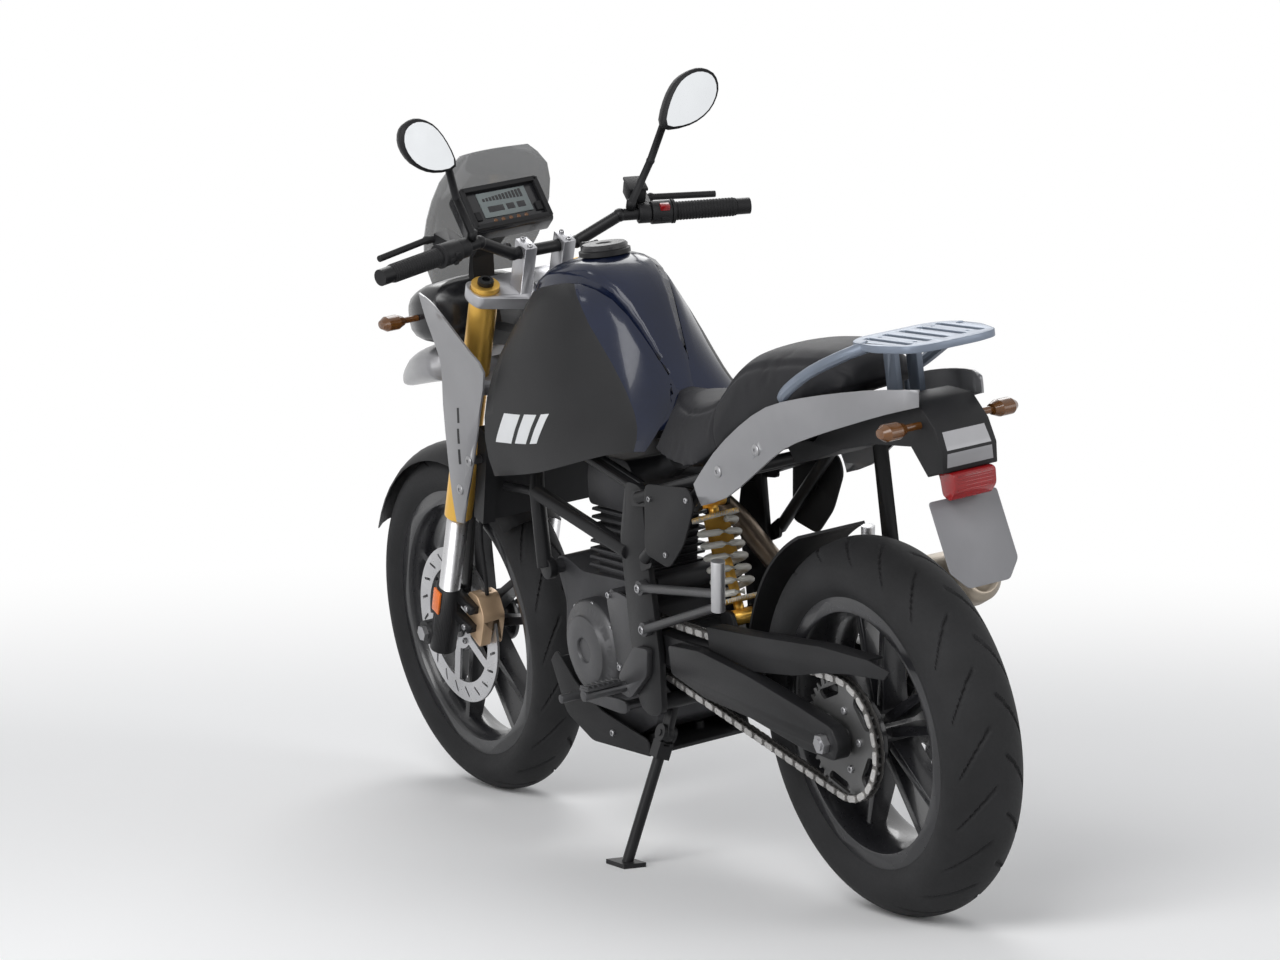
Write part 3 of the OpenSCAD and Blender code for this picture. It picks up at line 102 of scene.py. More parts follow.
# Finishes by name: base colour, roughness, metallic, grain per metre, colour spread, bump strength
FINISHES = {
    "frame_paint": ((0.011, 0.011, 0.012), 0.4, 0, 260, 0.25, 0.05),
    "engine_grey": ((0.042, 0.042, 0.045), 0.48, 0.35, 420, 0.3, 0.18),
    "cover_grey": ((0.062, 0.062, 0.065), 0.42, 0.45, 420, 0.25, 0.12),
    "black_plastic": ((0.012, 0.012, 0.013), 0.55, 0, 700, 0.3, 0.22),
    "tank_gloss": ((0.008, 0.012, 0.031), 0.2, 0, 120, 0.2, 0.01),
    "panel_grey": ((0.014, 0.014, 0.015), 0.52, 0, 600, 0.15, 0.08),
    "silver_panel": ((0.23, 0.23, 0.24), 0.4, 0.4, 900, 0.1, 0.03),
    "rack_silver": ((0.17, 0.2, 0.25), 0.42, 0.5, 500, 0.15, 0.08),
    "dash_black": ((0.012, 0.012, 0.014), 0.24, 0, 200, 0.2, 0.02),
    "lamp_red": ((0.26, 0.007, 0.009), 0.12, 0, 300, 0.25, 0.05),
    "plate_blank": ((0.17, 0.17, 0.18), 0.45, 0, 90, 0.08, 0.02),
    "marking_white": ((0.66, 0.67, 0.68), 0.45, 0, 300, 0.06, 0.02),
    "amber": ((0.13, 0.05, 0.012), 0.14, 0, 300, 0.25, 0.05),
    "reflector": ((0.72, 0.15, 0.014), 0.18, 0, 700, 0.3, 0.25),
    "gold": ((0.84, 0.5, 0.1), 0.36, 0.65, 900, 0.06, 0.01),
    "spring_pale": ((0.52, 0.51, 0.47), 0.42, 0.1, 300, 0.1, 0.03),
    "bronze": ((0.47, 0.33, 0.21), 0.4, 0.6, 350, 0.2, 0.06),
    "chain_steel": ((0.48, 0.47, 0.46), 0.36, 0.85, 300, 0.3, 0.05),
    "chain_inner": ((0.13, 0.125, 0.12), 0.45, 0.8, 300, 0.3, 0.05),
    "sprocket_steel": ((0.11, 0.11, 0.11), 0.42, 0.7, 240, 0.25, 0.04),
    "disc_steel": ((0.54, 0.54, 0.55), 0.3, 0.9, 240, 0.18, 0.03),
    "axle_steel": ((0.34, 0.34, 0.35), 0.34, 0.85, 240, 0.2, 0.03),
    "pipe_steel": ((0.2, 0.16, 0.125), 0.38, 0.85, 60, 0.45, 0.02),
    "silencer_metal": ((0.36, 0.31, 0.25), 0.4, 0.65, 80, 0.2, 0.02),
    "peg_alloy": ((0.07, 0.07, 0.073), 0.42, 0.5, 320, 0.2, 0.06),
    "peg_bright": ((0.42, 0.42, 0.43), 0.36, 0.8, 320, 0.15, 0.04),
    "clamp_alloy": ((0.46, 0.46, 0.48), 0.34, 0.8, 320, 0.15, 0.04),
    "rim_black": ((0.012, 0.012, 0.014), 0.3, 0, 200, 0.25, 0.02),
    "tyre": ((0.017, 0.017, 0.018), 0.72, 0, 180, 0.3, 0.15),
    "rubber": ((0.014, 0.014, 0.015), 0.64, 0, 500, 0.3, 0.15),
    "seat_vinyl": ((0.011, 0.011, 0.013), 0.58, 0, 900, 0.22, 0.35),
    "mirror": ((0.8, 0.82, 0.84), 0.04, 1, 60, 0.05, 0),
    "lamp_glass": ((0.7, 0.74, 0.78), 0.05, 0, 60, 0.05, 0),
    "screen_smoke": ((0.1, 0.105, 0.11), 0.06, 0, 60, 0.1, 0),
    "lcd": ((0.15, 0.175, 0.175), 0.25, 0, 300, 0.08, 0),
}
LOW_SHEEN = (
    "frame_paint", "engine_grey", "black_plastic", "panel_grey", "tank_gloss", "tyre", "rubber", "seat_vinyl",
    "peg_alloy",
)
SHEEN_LEVEL = 0.22
CLEAR = {"lamp_glass": 0.35, "screen_smoke": 0.62}
COATED = {"tank_gloss": 0.25, "silver_panel": 0.3, "rim_black": 0.2}
GRAIN_DETAIL = 4
CLOUD_SCALE, CLOUD_DETAIL = 7, 3
CLOUD_BAND = (0.3, 0.7)
GLOSS_SPREAD = 0.08
LEAST_ROUGH = 0.02
RELIEF_DEPTH = 0.6 * MM


def preset(node, inputs):
    """Sets inputs of a shader node by name."""
    for name, value in inputs.items():
        node.inputs[name].default_value = value


def shader_node(tree, kind, inputs=None, **settings):
    """A new shader node with some of its inputs and settings given."""
    node = tree.nodes.new("ShaderNode" + kind)
    preset(node, inputs or {})
    for name, value in settings.items():
        setattr(node, name, value)
    return node


def noise(tree, scale, detail):
    """The output of a noise texture on the piece's own coordinates."""
    where = shader_node(tree, "TexCoord")
    texture = shader_node(tree, "TexNoise", {"Scale": scale, "Detail": detail})
    tree.links.new(where.outputs["Object"], texture.inputs["Vector"])
    return texture.outputs["Fac"]


def add_tint(tree, shader, base, spread):
    """Varies the base colour about its value in slow clouds."""
    tint = shader_node(tree, "ValToRGB")
    for stop, place, share in zip(tint.color_ramp.elements, CLOUD_BAND, (1 - spread, 1 + spread)):
        stop.position = place
        stop.color = (*(min(1, c * share) for c in base), 1)
    tree.links.new(noise(tree, CLOUD_SCALE, CLOUD_DETAIL), tint.inputs["Fac"])
    tree.links.new(tint.outputs["Color"], shader.inputs["Base Color"])


def add_gloss(tree, shader, grain, rough):
    """Varies the roughness with the grain."""
    least, most = max(LEAST_ROUGH, rough - GLOSS_SPREAD), min(1.0, rough + GLOSS_SPREAD)
    gloss = shader_node(tree, "MapRange", {"To Min": least, "To Max": most})
    tree.links.new(grain, gloss.inputs["Value"])
    tree.links.new(gloss.outputs["Result"], shader.inputs["Roughness"])


def add_relief(tree, shader, grain, strength):
    """Raises the grain as a fine bump."""
    relief = shader_node(tree, "Bump", {"Strength": strength, "Distance": RELIEF_DEPTH})
    tree.links.new(grain, relief.inputs["Height"])
    tree.links.new(relief.outputs["Normal"], shader.inputs["Normal"])


def finish(name):
    """The procedural material of a finish, made once."""
    label = "moto_" + name
    if label in bpy.data.materials:
        return bpy.data.materials[label]
    base, rough, metal, scale, spread, bump = FINISHES[name]
    base = getattr(bpy.context.scene.moto_paint, name, base)
    mat = bpy.data.materials.new(label)
    mat.use_nodes = True
    tree = mat.node_tree
    shader = tree.nodes["Principled BSDF"]
    grain = noise(tree, scale, GRAIN_DETAIL)
    add_tint(tree, shader, base, spread)
    add_gloss(tree, shader, grain, rough)
    if bump:
        add_relief(tree, shader, grain, bump)
    preset(shader, {"Metallic": metal, "Coat Weight": COATED.get(name, 0), "Alpha": CLEAR.get(name, 1)})
    if name in LOW_SHEEN:
        preset(shader, {"Specular IOR Level": SHEEN_LEVEL})
    return mat


# Least angle of an edge that stays sharp, in degrees
KEPT_EDGE = 35


def piece(name, bm, slot, body="chassis", look=None, sharp=KEPT_EDGE):
    """Makes a bmesh an object that rides on a body, with its record slot's finish or another look."""
    mesh = bpy.data.meshes.new(name)
    bm.to_mesh(mesh)
    bm.free()
    mesh.shade_smooth()
    mesh.set_sharp_from_angle(angle=math.radians(sharp))
    mesh.materials.append(finish(look or slot))
    obj = bpy.data.objects.new(name, mesh)
    bpy.context.scene.collection.objects.link(obj)
    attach(obj, body)
    return obj


def recoat(obj, look, test):
    """Gives a second finish to the faces whose centre, in the upright bike frame, passes a test."""
    obj.data.materials.append(finish(look))
    back = STANCE.inverted()
    for face in obj.data.polygons:
        if test(back @ face.center / MM):
            face.material_index = 1


def frame_of(place, axis):
    """A matrix that puts the local Z axis along axis at a place."""
    return Matrix.Translation(place) @ axis.to_track_quat("Z", "Y").to_matrix().to_4x4()


def axes(place, x, y, z):
    """A matrix with three given directions as its local axes, at a place."""
    return Matrix.Translation(place) @ Matrix((x, y, z)).transposed().to_4x4()


def join(bm, part, put):
    """Puts a part in its place by a matrix and adds it to a bmesh."""
    bmesh.ops.transform(part, matrix=put, verts=part.verts)
    mesh = bpy.data.meshes.new("part")
    part.to_mesh(mesh)
    part.free()
    bm.from_mesh(mesh)
    bpy.data.meshes.remove(mesh)


MERGE = 0.01 * MM
WELD = 0.02 * MM
SOFT_ANGLE = math.radians(50)
FLAT_ANGLE = math.radians(0.3)


def revolve(bm, put, profile, sides):
    """Adds a profile of [radius, height] in millimetres, spun about the local Z axis of a matrix."""
    part = bmesh.new()
    line = [part.verts.new(Vector((r, 0, h)) * MM) for r, h in profile]
    edges = [part.edges.new(pair) for pair in zip(line, line[1:])]
    bmesh.ops.spin(part, geom=line + edges, cent=(0, 0, 0), axis=(0, 0, 1), angle=2 * math.pi, steps=sides,
                   use_merge=True)
    bmesh.ops.remove_doubles(part, verts=part.verts, dist=MERGE)
    bmesh.ops.recalc_face_normals(part, faces=part.faces)
    join(bm, part, put)


def turnings(name, slot, puts, profile, sides, body="chassis"):
    """Turned parts of one profile at several matrices, as one piece."""
    bm = bmesh.new()
    for put in puts:
        revolve(bm, put, profile, sides)
    return piece(name, bm, slot, body)


def block(bm, put, box):
    """Adds a box, given as three half sizes and a bevel in millimetres, placed by a matrix."""
    *half, bevel = box
    part = bmesh.new()
    bmesh.ops.create_cube(part, size=2)
    bmesh.ops.scale(part, vec=Vector(half) * MM, verts=part.verts)
    bmesh.ops.bevel(part, geom=part.edges, offset=bevel * MM, segments=2, profile=0.5, affect="EDGES",
                    material=-1)
    join(bm, part, put)


def blocks(name, slot, boxes, body="chassis", look=None):
    """Boxes as one piece, each with its matrix."""
    bm = bmesh.new()
    for put, box in boxes:
        block(bm, put, box)
    return piece(name, bm, slot, body, look=look)


def copy_of(node):
    """A bmesh copy of a CAD node with its loose triangles merged."""
    bm = bmesh.new()
    bm.from_mesh(FRAME["nodes"][node].data)
    bmesh.ops.remove_doubles(bm, verts=bm.verts, dist=WELD)
    return bm


def soften(bm, width):
    """Rounds the outer edges of a rigid copy by a small width in millimetres."""
    bmesh.ops.dissolve_limit(bm, angle_limit=FLAT_ANGLE, verts=bm.verts, edges=bm.edges)
    edges = [e for e in bm.edges if e.is_manifold and e.is_convex and e.calc_face_angle() > SOFT_ANGLE]
    bmesh.ops.bevel(bm, geom=edges, offset=width * MM, segments=2, profile=0.5, affect="EDGES", material=-1)


# Body panels that are lofts in the CAD model, and the angle of a kept edge in degrees
PANELS = {
    "fuel_tank": 32, "tank_panels": 40, "nose_panels": 40, "beak": 40, "headlamp": 40, "headlamp_lens": 40,
    "windscreen": 40, "tail_panels": 40, "exhaust_pipe": 50, "mirrors": 40, "front_mudguard": 40, "brake_hose": 60,
}

# Rigid parts whose edges are rounded, and the width of the rounding in millimetres
METALWORK = {
    "engine": 1.2, "skid_plate": 1.0, "swingarm": 1.5, "main_frame": 0.8, "side_covers": 1.0, "tail_fender": 1.5,
    "tail_lamp": 1.5, "instrument_panel": 2.0, "luggage_rack": 1.2, "chain_guard": 0.8, "footrests": 0.6,
    "foot_levers": 0.8, "rear_caliper": 1.2, "number_plate": 0.5, "front_caliper": 1.2, "triple_clamps": 1.2,
    "hand_controls": 1.0, "front_rim": 0.8, "rear_rim": 0.8,
}

# Where a second finish begins, in millimetres of the upright bike frame
TANK_SPLIT = 1000
SPLIT_SLOPE = 1.09
FOOT_TOP = 458.5
SHOCK_LOW = Vector((-262, 0, 452))
SHOCK_TOP = Vector((-206, 0, 654))
SPRING_END = 30
SPRING_CORE = 25
STRAP_BACK, STRAP_FRONT, STRAP_Z = -600, -545, 560
ENGINE_SIDE = 96
PILLION_X = -436


def on_spring(p):
    """True on the shock's spring and its seats."""
    whole = SHOCK_TOP - SHOCK_LOW
    run = whole.normalized()
    step = p - SHOCK_LOW
    up = step.dot(run)
    return SPRING_END < up < whole.length - SPRING_END and (step - run * up).length > SPRING_CORE


def on_stanchion(p):
    """True on the bright fork tubes above the fork feet."""
    return (FORK.inverted() @ (p * MM)).z > FOOT_TOP * MM


def on_strap(p):
    """True on the band round the silencer."""
    return STRAP_BACK < p.x < STRAP_FRONT and p.z > STRAP_Z


def on_engine_covers(p):
    """True on the covers at the engine's sides."""
    return abs(p.y) > ENGINE_SIDE


def on_pillion_pegs(p):
    """True on the pillion's footrests."""
    return p.x < PILLION_X


def on_gloss(p):
    """True on the tank panels above the paint line."""
    return p.z - SPLIT_SLOPE * p.x > TANK_SPLIT


def everywhere(p):
    """True on the whole part."""
    return True


# Second finish of a part, and which of its faces take it
SECOND_FINISH = {
    "rear_shock": ("spring_pale", on_spring),
    "fork_legs": ("disc_steel", on_stanchion),
    "silencer": ("black_plastic", on_strap),
    "engine": ("cover_grey", on_engine_covers),
    "footrests": ("peg_bright", on_pillion_pegs),
    "rear_sprocket": ("sprocket_steel", everywhere),
    "tank_panels": ("tank_gloss", on_gloss),
}


def colour(title, says, name):
    """A colour setting of the paint group, for a finish."""
    return bpy.props.FloatVectorProperty(name=title, description=says, default=FINISHES[name][0], size=3, min=0,
                                         max=1, subtype="COLOR")


class MOTO_Paint(PropertyGroup):
    """Colours that a user would change first."""

    tank_gloss: colour("Tank", "Gloss paint of the tank", "tank_gloss")
    panel_grey: colour("Tank panels", "Matt paint of the tank's side panels", "panel_grey")
    silver_panel: colour("Bodywork", "Paint of the nose, beak and tail panels", "silver_panel")
    rack_silver: colour("Rack", "Paint of the rack and grab rails", "rack_silver")
    gold: colour("Fork", "Anodised finish of the fork tubes", "gold")
    seat_vinyl: colour("Seat", "Cover of the seat", "seat_vinyl")


def number(title, says, value, **more):
    """A number setting."""
    return bpy.props.FloatProperty(name=title, description=says, default=value, **more)


def length(title, says, value):
    """A length setting in metres."""
    return number(title, says, value, min=0, unit="LENGTH")


class MOTO_Stage(PropertyGroup):
    """Numbers of the studio and the photograph's camera."""

    azimuth: number("Azimuth", "Turn of the camera round the motorcycle", math.radians(240), subtype="ANGLE")
    elevation: number("Elevation", "Rise of the camera", math.radians(6.3), subtype="ANGLE")
    distance: length("Distance", "From the camera to its aim", 8.9)
    lens: number("Lens", "Focal length on a 36 mm sensor", 81.5, unit="CAMERA")
    zoom: number("Zoom", "Closer crop than the photograph", 1.7)
    aim: bpy.props.FloatVectorProperty(
        name="Aim", description="Point at the image centre", default=(0.204, -0.151, 0.638), subtype="XYZ"
    )
    floor_size: length("Floor", "Side of the floor", 60)
    fade_from: length("Fade from", "Distance at which the floor starts to fade to white", 1.4)
    fade_to: length("Fade to", "Distance at which the floor is white", 4.2)


class MOTO_Tyres(PropertyGroup):
    """Numbers of the tyre tread."""

    around: bpy.props.IntProperty(name="Segments", description="Steps round the tyre", default=576, min=32)
    depth: length("Depth", "Depth of a groove", 4.2 * MM)
    half_width: length("Half width", "Half width of a groove", 3.4 * MM)
    pitches: bpy.props.IntProperty(name="Grooves", description="Grooves on each side", default=20, min=1)
    skew: number("Slant", "Slant of a groove, in pitches", 1.1)


class MOTO_Seat(PropertyGroup):
    """Numbers of the padded seat."""

    voxel: length("Voxel", "Grid of the cover's mesh", 5 * MM)
    shrink: length("Shrink", "Inset of the cover before it swells", 2.5 * MM)
    pressure: number("Pressure", "Pressure of the padding", 4)
    frames: bpy.props.IntProperty(name="Frames", description="Simulated frames", default=20, min=1)
    cap: length("Cap", "Most that a point of the cover may move", 5 * MM)
    seam: length("Seam", "Depth of the sewn channels", 3.5 * MM)


class MOTO_OT_materials(Operator):
    """Gives every CAD node the procedural finish of its record slot"""

    bl_idname = "moto.materials"
    bl_label = "CAD finishes"

    def execute(self, context):
        for node, slot in SLOT_OF.items():
            mesh = FRAME["nodes"][node].data
            mesh.materials.clear()
            mesh.materials.append(finish(slot))
        return {"FINISHED"}


class MOTO_OT_bodywork(Operator):
    """Replaces the faceted lofts with smooth copies and rounds the edges of the rigid parts"""

    bl_idname = "moto.bodywork"
    bl_label = "Bodywork and castings"

    def execute(self, context):
        jobs = [(node, 0, sharp) for node, sharp in PANELS.items()]
        jobs += [(node, width, KEPT_EDGE) for node, width in METALWORK.items()]
        done = {*PANELS, *METALWORK}
        jobs += [(node, 0, KEPT_EDGE) for node in SECOND_FINISH if node not in done]
        for node, width, sharp in jobs:
            bm = copy_of(node)
            if width:
                soften(bm, width)
            if node == "tank_panels":
                self.split_paint(bm)
            obj = piece(node + "_finished", bm, SLOT_OF[node], BODY_OF[node], sharp=sharp)
            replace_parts(obj, node)
            if node in SECOND_FINISH:
                recoat(obj, *SECOND_FINISH[node])
        return {"FINISHED"}

    def split_paint(self, bm):
        """Cuts the tank panels along the straight line where the gloss paint begins."""
        bmesh.ops.bisect_plane(bm, geom=[*bm.verts, *bm.edges, *bm.faces], plane_co=at(0, 0, TANK_SPLIT),
                               plane_no=along(-SPLIT_SLOPE, 0, 1))


# Upper edge of the seat cover, where its top is sewn to its sides: [x, half width, height]
SEAT_EDGE = ((-163, 20, 852), (-246, 62, 840), (-310, 84, 836), (-365, 94, 842), (-425, 98, 858), (-480, 96, 898),
             (-535, 94, 926), (-620, 90, 941), (-720, 80, 947), (-780, 66, 943), (-803, 50, 930))
EDGE_FLATNESS = 3
# Seam across the seat's step: where it crosses a height, its lean, and the reach of a sewn channel
STEP_SEAM_X, STEP_SEAM_Z, STEP_SEAM_LEAN = -440, 850, 0.4
SEAM_REACH = 5
COVER_EDGE = 60
SMOOTH_BEFORE, SMOOTH_AFTER = 8, 2


class MOTO_OT_seat(Operator):
    """Swells the seat's CAD solid into a padded cover by cloth simulation and sews its channels"""

    bl_idname = "moto.seat"
    bl_label = "Padded seat"

    def execute(self, context):
        props = context.scene.moto_seat
        seat = piece("seat_padded", copy_of("seat"), "seat_vinyl", sharp=COVER_EDGE)
        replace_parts(seat, "seat")
        self.swell(context, seat, props)
        self.sew(seat, props)
        return {"FINISHED"}

    def apply(self, context, obj, modifier):
        """Applies a modifier to the seat."""
        context.view_layer.objects.active = obj
        bpy.ops.object.modifier_apply(modifier=modifier.name)

    def swell(self, context, seat, props):
        """Remeshes the cover, inflates it and keeps each point within the cap."""
        remesh = seat.modifiers.new("remesh", "REMESH")
        remesh.mode = "VOXEL"
        remesh.voxel_size = props.voxel
        remesh.use_smooth_shade = True
        self.apply(context, seat, remesh)
        self.relax(seat, props.shrink, SMOOTH_BEFORE)
        start = [v.co.copy() for v in seat.data.vertices]
        cloth = seat.modifiers.new("cloth", "CLOTH")
        cloth.settings.use_pressure = True
        cloth.settings.uniform_pressure_force = props.pressure
        cloth.settings.effector_weights.gravity = 0
        for frame in range(1, props.frames + 1):
            context.scene.frame_set(frame)
        self.apply(context, seat, cloth)
        context.scene.frame_set(1)
        for v, home in zip(seat.data.vertices, start):
            step = v.co - home
            if step.length > props.cap:
                v.co = home + step * (props.cap / step.length)
        self.relax(seat, 0, SMOOTH_AFTER)
        smooth = seat.modifiers.new("subdivision", "SUBSURF")
        smooth.levels = 1
        smooth.render_levels = 1
        self.apply(context, seat, smooth)

    def relax(self, seat, inset, rounds):
        """Smooths the cover in a few rounds and draws it in by an inset."""
        bm = bmesh.new()
        bm.from_mesh(seat.data)
        for _ in range(rounds):
            bmesh.ops.smooth_vert(bm, verts=bm.verts, factor=0.5, use_axis_x=True, use_axis_y=True,
                                  use_axis_z=True)
        bm.normal_update()
        for v in bm.verts:
            v.co -= v.normal * inset
        bm.to_mesh(seat.data)
        bm.free()

    def sew(self, seat, props):
        """Presses the channels along the cover's upper edge and across its step."""
        back = STANCE.inverted()
        normals = [n.vector.copy() for n in seat.data.vertex_normals]
        for v, normal in zip(seat.data.vertices, normals):
            p = back @ v.co / MM
            across = abs(p.x - STEP_SEAM_X - STEP_SEAM_LEAN * (p.z - STEP_SEAM_Z))
            near = min(self.edge_gap(p), across)
            v.co -= normal * props.seam * math.exp(-((near / SEAM_REACH) ** 2))

    def edge_gap(self, p):
        """Distance in millimetres from the sewn upper edge, measured across the seat."""
        for a, b in zip(SEAT_EDGE, SEAT_EDGE[1:]):
            if b[0] <= p.x <= a[0]:
                t = (p.x - a[0]) / (b[0] - a[0])
                half, high = (a[k] + t * (b[k] - a[k]) for k in (1, 2))
                return math.hypot(abs(p.y) - half, (p.z - high) / EDGE_FLATNESS)
        return math.inf


# Tyre section: shares of the width, angles and lengths in millimetres
CROWN_SHARE = 0.52
CROWN_ANGLE = math.radians(60)
CROWN_STEPS, WALL_STEPS = 24, 8
BEAD_RISE, BEAD_OUT, BEAD_GAP = 14.3, 6, 0.4
WALL_RISE, WALL_BULGE = 0.45, 0.535
TREAD_EDGE = 28
# Grooves: shares of the half tread where they start and end, the run of each ramp, and their form
GROOVE_START, START_RUN, GROOVE_END, END_RUN = 0.10, 0.06, 0.92, 0.10
GROOVE_CURVE, GROOVE_WIDE, GROOVE_TAPER = 1.4, 1.25, 0.5
GROOVE_LIP, GROOVE_SLOPE = 1.2 * MM, 1.6 * MM
# Tyres: node, body, axle, radius, width, bead radius, bead width
TYRES = (
    ("front_tyre", "front_wheel", FRONT_AXLE, 329, 110, 241.3, 63.5),
    ("rear_tyre", "rear_wheel", REAR_AXLE, 321, 150, 215.9, 101.6),
)


def clamped(value):
    """A value held between 0 and 1."""
    return min(1, max(0, value))


def tyre_profile(radius, width, bead_r, bead_w):
    """Half profile of a tyre from its crown to its bead, as [radius, y] in millimetres."""
    crown = CROWN_SHARE * width
    rows = []
    for j in range(CROWN_STEPS + 1):
        a = CROWN_ANGLE * j / CROWN_STEPS
        rows.append([radius - crown + crown * math.cos(a), crown * math.sin(a)])
    top, low = rows[-1], [bead_r + BEAD_RISE, bead_w / 2 + BEAD_OUT]
    pull = [low[0] + WALL_RISE * (top[0] - low[0]), WALL_BULGE * width]
    for j in range(1, WALL_STEPS + 1):
        t = j / WALL_STEPS
        rows.append([(1 - t) ** 2 * top[k] + 2 * t * (1 - t) * pull[k] + t * t * low[k] for k in (0, 1)])
    return rows


class MOTO_OT_tyres(Operator):
    """Builds both tyres with their tread grooves"""

    bl_idname = "moto.tyres"
    bl_label = "Tyres with tread"

    def execute(self, context):
        for entry in TYRES:
            self.tyre(*entry, context.scene.moto_tyres)
        return {"FINISHED"}

    def tyre(self, node, body, axle, radius, width, bead_r, bead_w, props):
        """One tyre as a spun ring, its crown lowered where a groove runs."""
        half = tyre_profile(radius, width, bead_r, bead_w)
        rows = [[r, -y] for r, y in reversed(half)] + half[1:]
        rows += [[bead_r + BEAD_GAP, bead_w / 2 - BEAD_GAP], [bead_r + BEAD_GAP, BEAD_GAP - bead_w / 2]]
        bm = bmesh.new()
        ring = [bm.verts.new(Vector((r, y, 0)) * MM) for r, y in rows]
        edges = [bm.edges.new((v, ring[j - 1])) for j, v in enumerate(ring)]
        bmesh.ops.spin(bm, geom=ring + edges, cent=(0, 0, 0), axis=(0, 1, 0), angle=2 * math.pi,
                       steps=props.around, use_merge=True)
        crown = CROWN_SHARE * width * MM
        for v in bm.verts:
            far = math.hypot(v.co.x, v.co.z)
            lean = math.atan2(abs(v.co.y), far - radius * MM + crown) / CROWN_ANGLE
            if lean < 1:
                turn = math.atan2(v.co.z, v.co.x) / (2 * math.pi)
                deep = self.groove(turn, lean, v.co.y, radius * MM, props)
                v.co.x *= 1 - deep / far
                v.co.z *= 1 - deep / far
        bmesh.ops.recalc_face_normals(bm, faces=bm.faces)
        bmesh.ops.transform(bm, matrix=STANCE @ Matrix.Translation(axle * MM), verts=bm.verts)
        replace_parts(piece(node + "_tread", bm, "tyre", body, sharp=TREAD_EDGE), node)

    def groove(self, turn, lean, side, radius, props):
        """Depth of the tread at a share of a turn and a share of the half tread."""
        band = clamped((lean - GROOVE_START) / START_RUN) * clamped((GROOVE_END - lean) / END_RUN)
        phase = (turn * props.pitches + (0.5 if side > 0 else 0) - props.skew * lean**GROOVE_CURVE) % 1
        gap = min(phase, 1 - phase) * 2 * math.pi * radius / props.pitches
        wide = props.half_width * (GROOVE_WIDE - GROOVE_TAPER * lean)
        return props.depth * band * clamped((wide + GROOVE_LIP - gap) / GROOVE_SLOPE)


def tree_of(node):
    """A ray-casting tree of a CAD node's mesh."""
    bm = copy_of(node)
    tree = BVHTree.FromBMesh(bm)
    bm.free()
    return tree


# Socket bolt of unit head radius: [radius, height] shares
BOLT_FORM = ((0, -0.3), (1, -0.3), (1, 0.5), (0.86, 0.64), (0.52, 0.64), (0.5, 0.25), (0, 0.25))
# Button screw of a panel: [radius, height] in millimetres
SCREW_FORM = ((0, -2), (10, -2), (10, 1.2), (8.5, 2.6), (5, 3.4), (3.4, 3.4), (3.2, 1.6), (0, 1.6))
# Rings of bolts: name, body, head radius, centre, ring radius, number of bolts, angle of the first in degrees
BOLT_RINGS = (
    ("front_disc_bolts", "front_wheel", 6, (710, 55.2, 329), 35, 5, 20),
    ("rear_disc_bolts", "rear_wheel", 6, (-710, -84.8, 321), 36, 5, 20),
    ("sprocket_bolts", "rear_wheel", 6.5, (-710, 95.2, 321), 52, 5, 36),
    ("alternator_bolts", "chassis", 5, (95, 103, 372), 85, 8, 12),
    ("clutch_bolts", "chassis", 5, (40, -113, 385), 92, 9, 12),
)
SPROCKET_COVER = ((2, 110.2, 482), (-8, 110.2, 352))
# Bolts on both sides of the chassis: name, head radius, distance from the middle, places as [x, z]
SIDE_BOLTS = (
    ("hanger_bolts", 8, 141.2, ((-166, 520), (-162, 446))),
    ("skid_bolts", 6, 104.2, ((200, 270), (60, 222))),
    ("side_cover_bolts", 5, 152.2, ((-262, 690), (-388, 700), (-296, 596))),
)
# Screws on both sides: panel, places as [x, z]
PANEL_SCREWS = (
    ("tail_panels", ((-620, 806), (-500, 760))),
    ("nose_panels", ((362, 700), (424, 640))),
)
# Start of a line that looks for a panel, in millimetres from the middle plane or from the screen
SIDE_REACH = SCREEN_REACH = 400
SCREEN_SCREW, SCREEN_RISE = (560, 70, 1040), 0.5
# Bolts of the steering, in its own frame; the caliper's are counted from the front axle
BAR_CLAMP, BAR_CLAMP_STEP = (10, 40, 1208.2), 13
FORK_CAP = (32, 102, 1122.2)
CALIPER_BOLTS = ((-90, 98.2, 66), (-90, 98.2, 108))


def bolts(name, places, axis, radius, body="chassis", slot="axle_steel"):
    """Socket bolts of one size at several places, as one piece."""
    form = [[r * radius, h * radius] for r, h in BOLT_FORM]
    return turnings(name, slot, [frame_of(place, axis) for place in places], form, sides=16, body=body)


def ring_of(centre, radius, count, start):
    """Places on a circle across the bike frame."""
    x, y, z = centre
    turns = [2 * math.pi * k / count + math.radians(start) for k in range(count)]
    return [at(x + radius * math.cos(a), y, z + radius * math.sin(a)) for a in turns]


